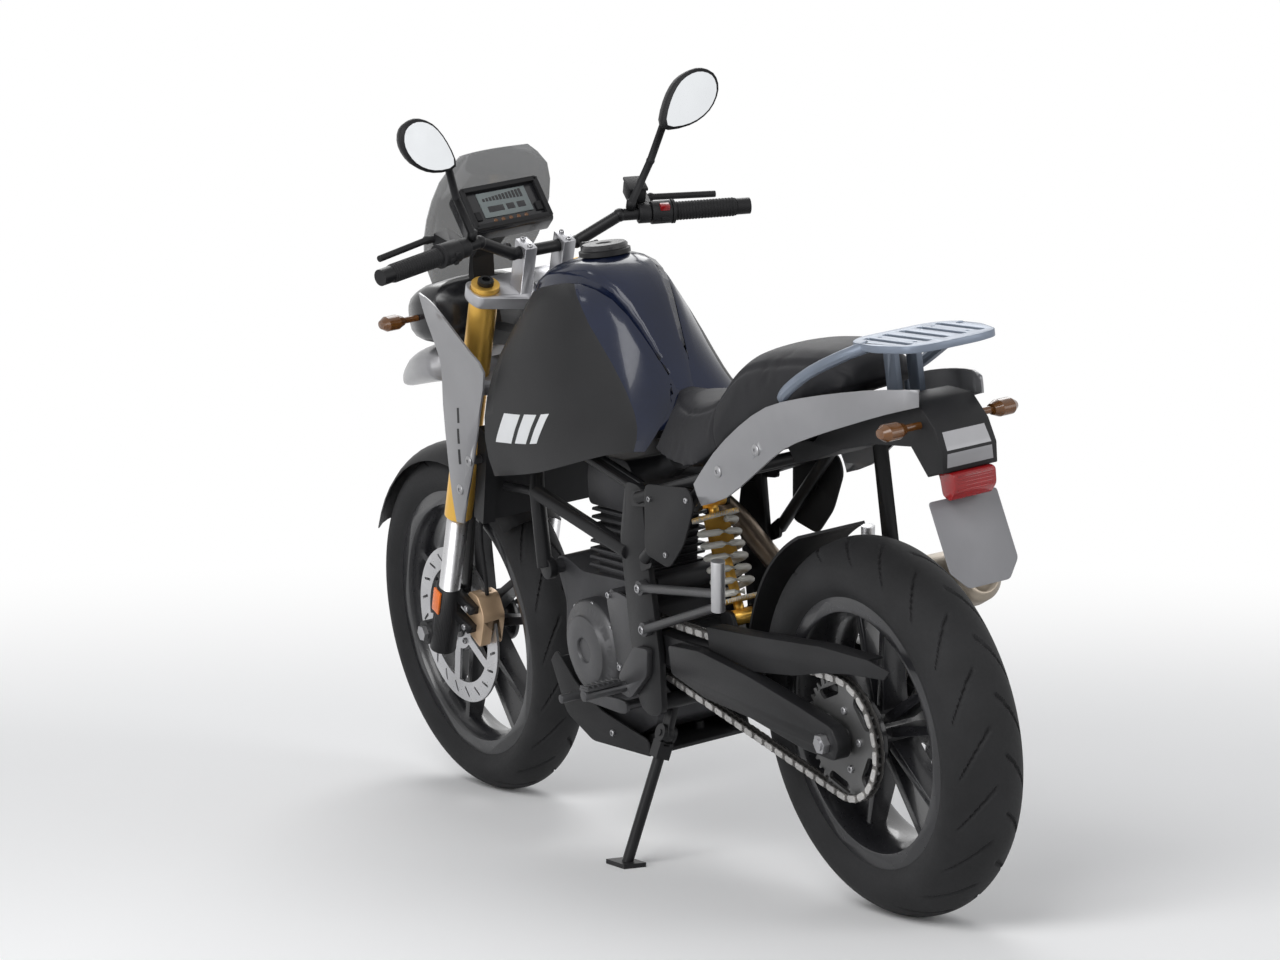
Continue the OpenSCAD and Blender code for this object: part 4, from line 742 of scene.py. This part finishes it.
class MOTO_OT_fasteners(Operator):
    """Adds the bolts of the discs, sprocket, covers, clamps and hangers, and the screws of the panels"""

    bl_idname = "moto.fasteners"
    bl_label = "Fasteners"

    def execute(self, context):
        for name, body, radius, centre, *ring in BOLT_RINGS:
            out = along(0, math.copysign(1, centre[1]), 0)
            bolts(name, ring_of(centre, *ring), out, radius, body)
        cover = [at(*place) for place in SPROCKET_COVER]
        bolts("sprocket_cover_bolts", cover, along(0, 1, 0), radius=6)
        for side, name in ((1, "left"), (-1, "right")):
            self.one_side(side, name)
        self.steering()
        ahead = along(1, 0, SCREEN_RISE)
        places = [place + ahead * SCREEN_REACH * MM for place in pair(SCREEN_SCREW)]
        self.screws("windscreen", "screen", ahead, places)
        return {"FINISHED"}

    def one_side(self, side, name):
        """Bolts and screws of one side of the chassis."""
        out = along(0, side, 0)
        for label, radius, y, places in SIDE_BOLTS:
            spots = [at(x, side * y, z) for x, z in places]
            bolts(f"{label}_{name}", spots, out, radius)
        for panel, places in PANEL_SCREWS:
            self.screws(panel, name, out, [at(x, side * SIDE_REACH, z) for x, z in places])

    def steering(self):
        """Bolts of the bar clamps, the fork caps and the front caliper."""
        ahead, left, up = fork_along(1, 0, 0), fork_along(0, 1, 0), fork_along(0, 0, 1)
        x, y, z = BAR_CLAMP
        steps = (-BAR_CLAMP_STEP, BAR_CLAMP_STEP)
        bar = [fork_at(x + step, side * y, z) for side in (1, -1) for step in steps]
        bolts("bar_clamp_bolts", bar, up, radius=5, body="steering")
        bolts("fork_caps", pair(FORK_CAP, fork_at), up, radius=15, body="steering", slot="frame_paint")
        hub = at(*FRONT_AXLE)
        caliper = [hub + (ahead * x + left * y + up * z) * MM for x, y, z in CALIPER_BOLTS]
        bolts("front_caliper_bolts", caliper, left, radius=6, body="steering")

    def screws(self, panel, name, out, places):
        """Button screws on a panel, each where a line from its place against out meets the surface."""
        tree = tree_of(panel)
        hits = [tree.ray_cast(place, -out)[0] for place in places]
        if any(hit is None for hit in hits):
            raise RuntimeError("a screw misses its panel")
        puts = [frame_of(hit, out) for hit in hits]
        turnings(f"{panel}_screws_{name}", "axle_steel", puts, SCREW_FORM, sides=20)


DASH_X, DASH_Z = 430, 1128
DASH_TILT = math.radians(35)
DASH_DEPTH = 22
# Bar graph of the display: bars, first place and step across, foot, least height and growth
GRAPH_BARS, GRAPH_X, GRAPH_STEP, GRAPH_Y, GRAPH_LOW, GRAPH_RISE = 12, -40, 7, 13, 3, 0.5
GRAPH_TALL = [GRAPH_LOW + GRAPH_RISE * k for k in range(GRAPH_BARS)]
GRAPH = [
    ((GRAPH_X + GRAPH_STEP * k, GRAPH_Y + tall / 2, 2.8), (2.4, tall, 0.4, 0.2))
    for k, tall in enumerate(GRAPH_TALL)
]
FIELDS = [((x, -6, 2.8), (half, 6, 0.4, 0.2)) for x, half in ((-22, 16), (8, 8), (30, 8))]
BEZEL = [((0, y, 3), (78, 5, 5, 2)) for y in (39, -39)] + [((x, 0, 3), (5, 42, 5, 2)) for x in (76, -76)]
DISPLAY = [((0, 4, 1), (50, 26, 1.6, 1))]
BUTTONS = [((x, -16, 2), (6, 9, 2.5, 1.5)) for x in (-63, 63)]
# Pieces on the instrument's face: name, slot, look, and the place and box of each block
DASH_BOXES = (
    ("dash_bezel", "black_plastic", None, BEZEL),
    ("dash_display", "dash_black", "lcd", DISPLAY),
    ("dash_segments", "dash_black", None, GRAPH + FIELDS),
    ("dash_buttons", "rubber", None, BUTTONS),
)
WARNING_X, WARNING_Y = (-32, -16, 0, 16, 32), -29
WARNING_FORM = ((0, -1), (4, -1), (4, 1.2), (3, 2), (0, 2.2))


def dash_matrix():
    """Local X across the bike, Y up the dial and Z out of it, at the middle of the instrument's face."""
    out = along(-math.cos(DASH_TILT), 0, math.sin(DASH_TILT))
    up = along(math.sin(DASH_TILT), 0, math.cos(DASH_TILT))
    face = at(DASH_X - DASH_DEPTH * math.cos(DASH_TILT), 0, DASH_Z + DASH_DEPTH * math.sin(DASH_TILT))
    return axes(face, up.cross(out), up, out)


def shifted(put, x, y, z):
    """A matrix moved along its own axes, in millimetres."""
    return put @ Matrix.Translation(Vector((x, y, z)) * MM)


class MOTO_OT_dash(Operator):
    """Adds the instrument's bezel, display, bar graph, warning lamps and buttons"""

    bl_idname = "moto.dash"
    bl_label = "Instrument"

    def execute(self, context):
        put = dash_matrix()
        for name, slot, look, boxes in DASH_BOXES:
            blocks(name, slot, [(shifted(put, *place), box) for place, box in boxes], look=look)
        lamps = [shifted(put, x, WARNING_Y, 0) for x in WARNING_X]
        turnings("dash_warning_lamps", "amber", lamps, WARNING_FORM, sides=16)
        return {"FINISHED"}


BAR_BEND = Vector((0, 145, 1236))
BAR_END = Vector((-58, 355, 1246))
BAR_LEN = (BAR_END - BAR_BEND).length
GRIP_LEN = 122
SWITCH_AT = BAR_LEN - GRIP_LEN - 62
# Grip with its flange and ribs, in millimetres
GRIP_BORE, FLANGE_R, GRIP_R, RIB_R, GRIP_END_R = 11.3, 22, 16.2, 17.2, 15
FLANGE_LEN, FLANGE_FOOT = 5, 6.5
RIBS, RIB_FROM, RIB_STEP = 19, 9, 5.8
RIB_FORM = ((GRIP_R, 0), (RIB_R, 1.2), (RIB_R, 3.4), (GRIP_R, 4.6))
# Pieces on the bars: name, slot, and the side, distance from the switch, step off the bar and box of each block
BAR_BOXES = (
    ("stop_switch", "lamp_red", ((-1, 42, (-12, 0, 18), (7, 9, 5, 2)),)),
    ("switch_buttons", "rubber", (
        (-1, 42, (-21, 0, -2), (3, 8, 5, 2)), (1, 34, (-21, 0, 8), (3, 5, 3.5, 1.5)),
        (1, 46, (-21, 0, 0), (3, 5, 3.5, 1.5)), (1, 36, (-21, 0, -9), (3, 5, 3.5, 1.5)),
    )),
    ("brake_fluid_cup", "black_plastic", (
        (-1, 8, (34, 0, 27), (22, 17, 15, 5)), (-1, 8, (34, 0, 43), (23, 18, 3, 1.5)),
    )),
)


def grip_profile():
    """Profile of a ribbed grip, as [radius, distance along it] in millimetres."""
    line = [[GRIP_BORE, 0], [FLANGE_R, 0], [FLANGE_R, FLANGE_LEN], [GRIP_R, FLANGE_FOOT]]
    for k in range(RIBS):
        start = RIB_FROM + RIB_STEP * k
        line += [[r, start + s] for r, s in RIB_FORM]
    return line + [[GRIP_R, GRIP_LEN - 1], [GRIP_END_R, GRIP_LEN], [GRIP_BORE, GRIP_LEN], [GRIP_BORE, 0]]


def bar_matrix(side, s, lift=(0, 0, 0)):
    """Local X forward, Y along the bar and Z up, s millimetres out from the bend of the handlebar."""
    run = (BAR_END - BAR_BEND).normalized()
    p = BAR_BEND + run * s + Vector(lift)
    outward = fork_along(run.x, side * run.y, run.z)
    ahead = outward.cross(fork_along(0, 0, 1)) * side
    return axes(fork_at(p.x, side * p.y, p.z), ahead, outward * side, ahead.cross(outward) * side)


class MOTO_OT_controls(Operator):
    """Adds ribbed grips, switch buttons, the red stop switch and the brake fluid cup"""

    bl_idname = "moto.controls"
    bl_label = "Hand controls"

    def execute(self, context):
        puts = []
        for side in (1, -1):
            root = bar_matrix(side, BAR_LEN - GRIP_LEN)
            puts.append(frame_of(root.translation, root.col[1].xyz * side))
        grips = turnings("grips_ribbed", "rubber", puts, grip_profile(), sides=32, body="steering")
        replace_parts(grips, "grips")
        for name, slot, boxes in BAR_BOXES:
            placed = [(bar_matrix(side, SWITCH_AT + s, step), box) for side, s, step, box in boxes]
            blocks(name, slot, placed, body="steering")
        return {"FINISHED"}


PATCH_LIFT, PATCH_STEPS = 0.2, 8


def drape(bm, tree, corners, into, steps):
    """Lays a grid over four corner points, in the row frame, onto the surface that lies ahead of them."""
    a, b, c, d = corners
    for v in bmesh.ops.create_grid(bm, x_segments=steps, y_segments=steps, size=1)["verts"]:
        u, w = (v.co.x + 1) / 2, (v.co.y + 1) / 2
        start = a * (1 - u) * (1 - w) + b * u * (1 - w) + c * u * w + d * (1 - u) * w
        hit, _, _, _ = tree.ray_cast(start, into)
        if hit is None:
            raise RuntimeError("a trim patch misses its panel")
        v.co = hit - into * PATCH_LIFT * MM


def patch(name, bm, slot, thick, into, look=None):
    """Gives a draped patch its thickness, outwards from the surface that it lies on."""
    for face in bm.faces:
        face.normal_update()
        if face.normal.dot(into(face.calc_center_median())) > 0:
            face.normal_flip()
    bmesh.ops.solidify(bm, geom=list(bm.faces), thickness=thick * MM)
    bmesh.ops.recalc_face_normals(bm, faces=bm.faces)
    return piece(name, bm, slot, look=look)


def inwards(p):
    """Direction from a point towards the bike's middle plane."""
    return along(0, -1, 0) if (STANCE.inverted() @ p).y > 0 else along(0, 1, 0)


def forwards(p):
    """Direction ahead, the same at every point."""
    return along(1, 0, 0)


# Pale bars of the tank panels, slots of the nose panels and cover of the tail lamp, in millimetres
STRIPE_X, STRIPE_Z = 238, 748
STRIPE_W, STRIPE_GAP, STRIPE_H, STRIPE_LEAN = (64, 44, 26), 16, 56, 46
STRIPE_RISE, STRIPE_STEP = 3, 5
NOSE_SLOTS = ((404, 690), (392, 730), (378, 770))
SLOT_FORM, SLOT_STEPS = ((0, 0), (-9, 1), (-17, 30), (-8, 29)), 4
BAR_THICK, COVER_THICK = 0.5, 4
COVER_FROM, LAMP_COVER = -1200, ((-44, 796), (44, 796), (40, 852), (-40, 852))


def stripe_outlines():
    """Corners of the slanted bars as [x, z], from the front backwards."""
    x, z = STRIPE_X, STRIPE_Z
    outlines = []
    for wide in STRIPE_W:
        low, high = x - STRIPE_LEAN, z + STRIPE_H
        outlines.append(((x, z), (x - wide, z + STRIPE_RISE), (low - wide, high + STRIPE_RISE), (low, high)))
        x, z = x - wide - STRIPE_GAP, z + STRIPE_STEP
    return outlines


class MOTO_OT_trim(Operator):
    """Adds the pale bars on the tank panels, the slots of the nose panels and the tail lamp's pale cover"""

    bl_idname = "moto.trim"
    bl_label = "Panel trim"

    def execute(self, context):
        bars = self.both_sides("tank_panels", stripe_outlines(), PATCH_STEPS)
        patch("panel_bars", bars, "plate_blank", BAR_THICK, inwards, look="marking_white")
        outlines = [[(x + dx, z + dz) for dx, dz in SLOT_FORM] for x, z in NOSE_SLOTS]
        slots = self.both_sides("nose_panels", outlines, SLOT_STEPS)
        patch("nose_slots", slots, "black_plastic", BAR_THICK, inwards)
        bm = bmesh.new()
        corners = [at(COVER_FROM, y, z) for y, z in LAMP_COVER]
        drape(bm, tree_of("tail_fender"), corners, along(1, 0, 0), PATCH_STEPS)
        patch("lamp_cover", bm, "silver_panel", COVER_THICK, forwards)
        return {"FINISHED"}

    def both_sides(self, node, outlines, steps):
        """Grids laid over outlines of [x, z] on both sides of a panel."""
        tree = tree_of(node)
        bm = bmesh.new()
        for side in (1, -1):
            for outline in outlines:
                corners = [at(x, side * SIDE_REACH, z) for x, z in outline]
                drape(bm, tree, corners, along(0, -side, 0), steps)
        return bm


# Fork reflectors in the steering frame, ribs of the tail lamp and projectors of the headlamp, in millimetres
REFLECTOR_AT, REFLECTOR = (32, 127.6, 430), (12, 24, 2.2, 1.2)
TAIL_RIBS, TAIL_RIB_X, TAIL_RIB_Z = 5, (-1047.4, 0.6), (782, -6)
TAIL_RIB = (34, 1.1, 1.2, 0.5)
PROJECTOR_AT, PROJECTOR_RISE = (706, 27, 916), 0.1
PROJECTOR_FORM = ((0, -6), (21, -6), (21, 3), (18, 5), (15.5, 3), (14, 0.5), (0, -0.5))


class MOTO_OT_lamps(Operator):
    """Adds the fork reflectors, the ribs of the tail lamp and the headlamp's projectors"""

    bl_idname = "moto.lamps"
    bl_label = "Lamps and reflectors"

    def execute(self, context):
        turned = fork_along(1, 0, 0), fork_along(0, 0, 1), fork_along(0, -1, 0)
        boxes = [(axes(place, *turned), REFLECTOR) for place in pair(REFLECTOR_AT, fork_at)]
        blocks("fork_reflectors", "amber", boxes, body="steering", look="reflector")
        turned = along(0, 1, 0), along(0, 0, 1), along(1, 0, 0)
        (x, dx), (z, dz) = TAIL_RIB_X, TAIL_RIB_Z
        boxes = [(axes(at(x + dx * k, 0, z + dz * k), *turned), TAIL_RIB) for k in range(TAIL_RIBS)]
        blocks("tail_lamp_ribs", "lamp_red", boxes)
        puts = [frame_of(place, along(1, 0, PROJECTOR_RISE)) for place in pair(PROJECTOR_AT)]
        turnings("headlamp_projectors", "dash_black", puts, PROJECTOR_FORM, sides=32)
        return {"FINISHED"}


# Drive chain: lengths in millimetres, the engine's sprocket as [x, z], and the half sizes of a link plate
CHAIN_PITCH = 15.875
REAR_TEETH, FRONT_TEETH = 40, 16
ENGINE_SPROCKET = Vector((-50, 418))
CHAIN_Y = 92
CHAIN_FACE = 7.5
LINK_HALF = Vector((12.4, 5.6, 0.8))
LINK_ROUND = 5.2
RIVET_FORM = ((0, -0.2), (2.6, -0.2), (2.6, 1.3), (1.8, 1.7), (0, 1.7))


def polar(angle):
    """A step of 1 at an angle, across the bike frame."""
    return Vector((math.cos(angle), math.sin(angle)))


def chain_pins():
    """Centres of the chain's pins round both sprockets, as [x, z] in millimetres."""
    rear_r, front_r = (CHAIN_PITCH / 2 / math.sin(math.pi / teeth) for teeth in (REAR_TEETH, FRONT_TEETH))
    rear, front = Vector((REAR_AXLE.x, REAR_AXLE.z)), ENGINE_SPROCKET
    span = front - rear
    slope, wrap = math.atan2(span.y, span.x), math.acos((rear_r - front_r) / span.length)
    run = span.length * math.sin(wrap)
    rear_len, front_len = rear_r * 2 * (math.pi - wrap), front_r * 2 * wrap

    def place(s):
        upper, lower = polar(slope + wrap), polar(slope - wrap)
        if s < run:
            return (front + front_r * upper).lerp(rear + rear_r * upper, s / run)
        if s < run + rear_len:
            return rear + rear_r * polar(slope + wrap + (s - run) / rear_r)
        s -= run + rear_len
        if s < run:
            return (rear + rear_r * lower).lerp(front + front_r * lower, s / run)
        return front + front_r * polar(slope - wrap + (s - run) / front_r)

    total = 2 * run + rear_len + front_len
    count = 2 * round(total / CHAIN_PITCH / 2)
    return [place(total * k / count) for k in range(count)]


class MOTO_OT_chain(Operator):
    """Adds the outer link plates and the rivets of the drive chain"""

    bl_idname = "moto.chain"
    bl_label = "Chain links"

    def execute(self, context):
        inner = FRAME["nodes"]["chain"].data
        inner.materials.clear()
        inner.materials.append(finish("chain_inner"))
        pins = chain_pins()
        bm = bmesh.new()
        for a, b in zip(pins[::2], pins[1::2]):
            run = (b - a).normalized()
            for side in (1, -1):
                out, y = along(0, side, 0), CHAIN_Y + side * CHAIN_FACE
                middle = (a + b) / 2
                ahead, across = along(run.x, 0, run.y), along(side * run.y, 0, -side * run.x)
                join(bm, self.plate(), axes(at(middle.x, y, middle.y), ahead, across, out))
                for pin in (a, b):
                    revolve(bm, frame_of(at(pin.x, y, pin.y), out), RIVET_FORM, sides=8)
        piece("chain_links", bm, "chain_steel")
        return {"FINISHED"}

    def plate(self):
        """One link plate with round ends, flat on its local XY plane."""
        part = bmesh.new()
        bmesh.ops.create_cube(part, size=2)
        bmesh.ops.scale(part, vec=LINK_HALF * MM, verts=part.verts)
        corners = [e for e in part.edges if e.verts[0].co.xy == e.verts[1].co.xy]
        bmesh.ops.bevel(part, geom=corners, offset=LINK_ROUND * MM, segments=3, profile=0.5, affect="EDGES",
                        material=-1)
        return part


# Teeth of the pegs, wheel valves and the oil filler cap, in millimetres
PEG_AT, PEG_TEETH, TOOTH_STEP = (-66, 154, 346.5), 7, 10.4
TOOTH = (14, 2.2, 2.6, 0.8)
STEM_FORM = ((0, -4), (4.5, -4), (4.5, 12), (3, 14), (3, 26), (4, 27), (4, 36), (3, 37.5), (0, 37.5))
VALVE_TURN = math.radians(18)
# Valves: name, body, axle, radius of the rim's well
VALVES = (("front_valve", "front_wheel", FRONT_AXLE, 222), ("rear_valve", "rear_wheel", REAR_AXLE, 198))
OIL_CAP_AT = (150, -119, 445)
OIL_CAP_FORM = ((0, -20), (16, -20), (16, 4), (14, 7), (6, 7), (5, 12), (0, 12))


class MOTO_OT_foot_gear(Operator):
    """Adds the toothed treads of the foot pegs, the wheel valves and the oil filler cap"""

    bl_idname = "moto.foot_gear"
    bl_label = "Peg treads, valves and filler"

    def execute(self, context):
        x, y, z = PEG_AT
        upright = along(1, 0, 0), along(0, 1, 0), along(0, 0, 1)
        places = [at(x, side * (y + TOOTH_STEP * k), z) for side in (1, -1) for k in range(PEG_TEETH)]
        blocks("peg_treads", "peg_alloy", [(axes(place, *upright), TOOTH) for place in places])
        spoke = along(math.cos(VALVE_TURN), 0, math.sin(VALVE_TURN))
        for name, body, axle, rim in VALVES:
            put = frame_of(at(*axle) + spoke * rim * MM, -spoke)
            turnings(name, "rubber", [put], STEM_FORM, sides=16, body=body)
        put = frame_of(at(*OIL_CAP_AT), along(0, -1, 0))
        turnings("oil_filler_cap", "black_plastic", [put], OIL_CAP_FORM, sides=24)
        return {"FINISHED"}


# Lights: name, place and size in metres, power in watts
LIGHTS = (
    ("key", (-3.2, 4.2, 4.6), 3.5, 220),
    ("fill", (-5.0, -3.0, 2.6), 3.0, 72),
    ("rim", (3.8, -1.8, 4.2), 3.0, 105),
    ("low_left", (-1.2, 5.2, 1.3), 2.4, 70),
)
LIGHT_AIM = Vector((0, 0, 0.6))
SENSOR = 36
FLOOR_COLOUR, FLOOR_ROUGH = (0.95, 0.95, 0.95, 1), 0.9
SKY_COLOUR, SKY_LEVEL, WHITE = (0.86, 0.88, 0.92, 1), 0.28, (1, 1, 1, 1)


class MOTO_OT_stage(Operator):
    """Builds the floor, the lights and the camera at the photograph's viewing angle"""

    bl_idname = "moto.stage"
    bl_label = "Studio and camera"

    def execute(self, context):
        scene = context.scene
        scene.view_settings.view_transform = "Standard"
        self.floor(scene, scene.moto_stage)
        self.world(scene)
        self.lights(scene)
        self.camera(scene, scene.moto_stage)
        return {"FINISHED"}

    def lights(self, scene):
        """Area lights aimed at the middle of the motorcycle."""
        for name, place, size, power in LIGHTS:
            light = bpy.data.lights.new(name, "AREA")
            light.size = size
            light.energy = power
            lamp = bpy.data.objects.new(name, light)
            lamp.location = place
            lamp.rotation_euler = (LIGHT_AIM - Vector(place)).to_track_quat("-Z", "Y").to_euler()
            scene.collection.objects.link(lamp)

    def camera(self, scene, props):
        """The camera at the photograph's viewing angle."""
        az, el = props.azimuth, props.elevation
        out = Vector((math.sin(az) * math.cos(el), -math.cos(az) * math.cos(el), math.sin(el)))
        data = bpy.data.cameras.new("photo_camera")
        data.sensor_width = SENSOR
        data.lens = props.lens * props.zoom
        camera = bpy.data.objects.new("photo_camera", data)
        camera.location = Vector(props.aim) + out * props.distance
        camera.rotation_euler = (-out).to_track_quat("-Z", "Y").to_euler()
        scene.collection.objects.link(camera)
        scene.camera = camera

    def floor(self, scene, props):
        """A pale floor that keeps the shadow and fades to white away from the motorcycle."""
        bm = bmesh.new()
        bmesh.ops.create_grid(bm, x_segments=1, y_segments=1, size=props.floor_size / 2)
        mesh = bpy.data.meshes.new("floor")
        bm.to_mesh(mesh)
        bm.free()
        floor = bpy.data.objects.new("floor", mesh)
        scene.collection.objects.link(floor)
        mat = bpy.data.materials.new("studio_floor")
        mat.use_nodes = True
        mesh.materials.append(mat)
        tree = mat.node_tree
        shader = tree.nodes["Principled BSDF"]
        preset(shader, {"Base Color": FLOOR_COLOUR, "Roughness": FLOOR_ROUGH})
        glow = shader_node(tree, "Emission")
        shown = shader_node(tree, "Math", operation="MULTIPLY")
        where = shader_node(tree, "TexCoord")
        reach = shader_node(tree, "VectorMath", operation="LENGTH")
        span = {"From Min": props.fade_from, "From Max": props.fade_to}
        fade = shader_node(tree, "MapRange", span, interpolation_type="SMOOTHSTEP")
        tree.links.new(where.outputs["Object"], reach.inputs[0])
        tree.links.new(reach.outputs["Value"], fade.inputs["Value"])
        tree.links.new(fade.outputs["Result"], shown.inputs[0])
        tree.links.new(self.looked_at(tree), shown.inputs[1])
        self.mix(tree, shown.outputs["Value"], shader.outputs["BSDF"], glow.outputs["Emission"], "Material Output")

    def mix(self, tree, share, first, second, output):
        """Mixes two shaders by a share and gives the result to an output node."""
        mixed = shader_node(tree, "MixShader")
        for socket, place in ((share, "Fac"), (first, 1), (second, 2)):
            tree.links.new(socket, mixed.inputs[place])
        tree.links.new(mixed.outputs["Shader"], tree.nodes[output].inputs["Surface"])

    def looked_at(self, tree):
        """A socket that is 1 for what is seen directly, in a reflection or through glass, and 0 for light."""
        path = shader_node(tree, "LightPath")
        total = path.outputs["Is Camera Ray"]
        for ray in ("Is Glossy Ray", "Is Transmission Ray"):
            add = shader_node(tree, "Math", operation="ADD", use_clamp=True)
            tree.links.new(total, add.inputs[0])
            tree.links.new(path.outputs[ray], add.inputs[1])
            total = add.outputs["Value"]
        return total

    def world(self, scene):
        """White behind the motorcycle, and a softer grey as its light."""
        world = scene.world or bpy.data.worlds.new("studio_world")
        scene.world = world
        world.use_nodes = True
        tree = world.node_tree
        soft = tree.nodes["Background"]
        preset(soft, {"Color": SKY_COLOUR, "Strength": SKY_LEVEL})
        white = shader_node(tree, "Background", {"Color": WHITE})
        shades = soft.outputs["Background"], white.outputs["Background"]
        self.mix(tree, self.looked_at(tree), *shades, "World Output")


class MOTO_PT_panel(Panel):
    """Sidebar panel with one button for each group of pieces"""

    bl_label = "Motorcycle"
    bl_idname = "MOTO_PT_panel"
    bl_space_type = "VIEW_3D"
    bl_region_type = "UI"
    bl_category = "Motorcycle"

    def draw(self, context):
        for step in STEPS:
            self.layout.operator(step.bl_idname)


STEPS = (
    MOTO_OT_stage,
    MOTO_OT_materials,
    MOTO_OT_bodywork,
    MOTO_OT_seat,
    MOTO_OT_tyres,
    MOTO_OT_fasteners,
    MOTO_OT_dash,
    MOTO_OT_controls,
    MOTO_OT_trim,
    MOTO_OT_lamps,
    MOTO_OT_chain,
    MOTO_OT_foot_gear,
)
GROUPS = {"moto_paint": MOTO_Paint, "moto_stage": MOTO_Stage, "moto_tyres": MOTO_Tyres, "moto_seat": MOTO_Seat}


def register():
    """Registers the classes and gives the scene its settings."""
    for cls in (*GROUPS.values(), *STEPS, MOTO_PT_panel):
        bpy.utils.register_class(cls)
    for name, cls in GROUPS.items():
        setattr(bpy.types.Scene, name, bpy.props.PointerProperty(type=cls))


def unregister():
    """Takes the settings and the classes away again."""
    for name in GROUPS:
        delattr(bpy.types.Scene, name)
    for cls in reversed((*GROUPS.values(), *STEPS, MOTO_PT_panel)):
        bpy.utils.unregister_class(cls)


def main():
    """Builds every group of pieces in order."""
    register()
    bpy.ops.moto.stage()
    bpy.ops.moto.materials()
    bpy.ops.moto.bodywork()
    bpy.ops.moto.seat()
    bpy.ops.moto.tyres()
    bpy.ops.moto.fasteners()
    bpy.ops.moto.dash()
    bpy.ops.moto.controls()
    bpy.ops.moto.trim()
    bpy.ops.moto.lamps()
    bpy.ops.moto.chain()
    bpy.ops.moto.foot_gear()


if __name__ == "__main__":
    main()
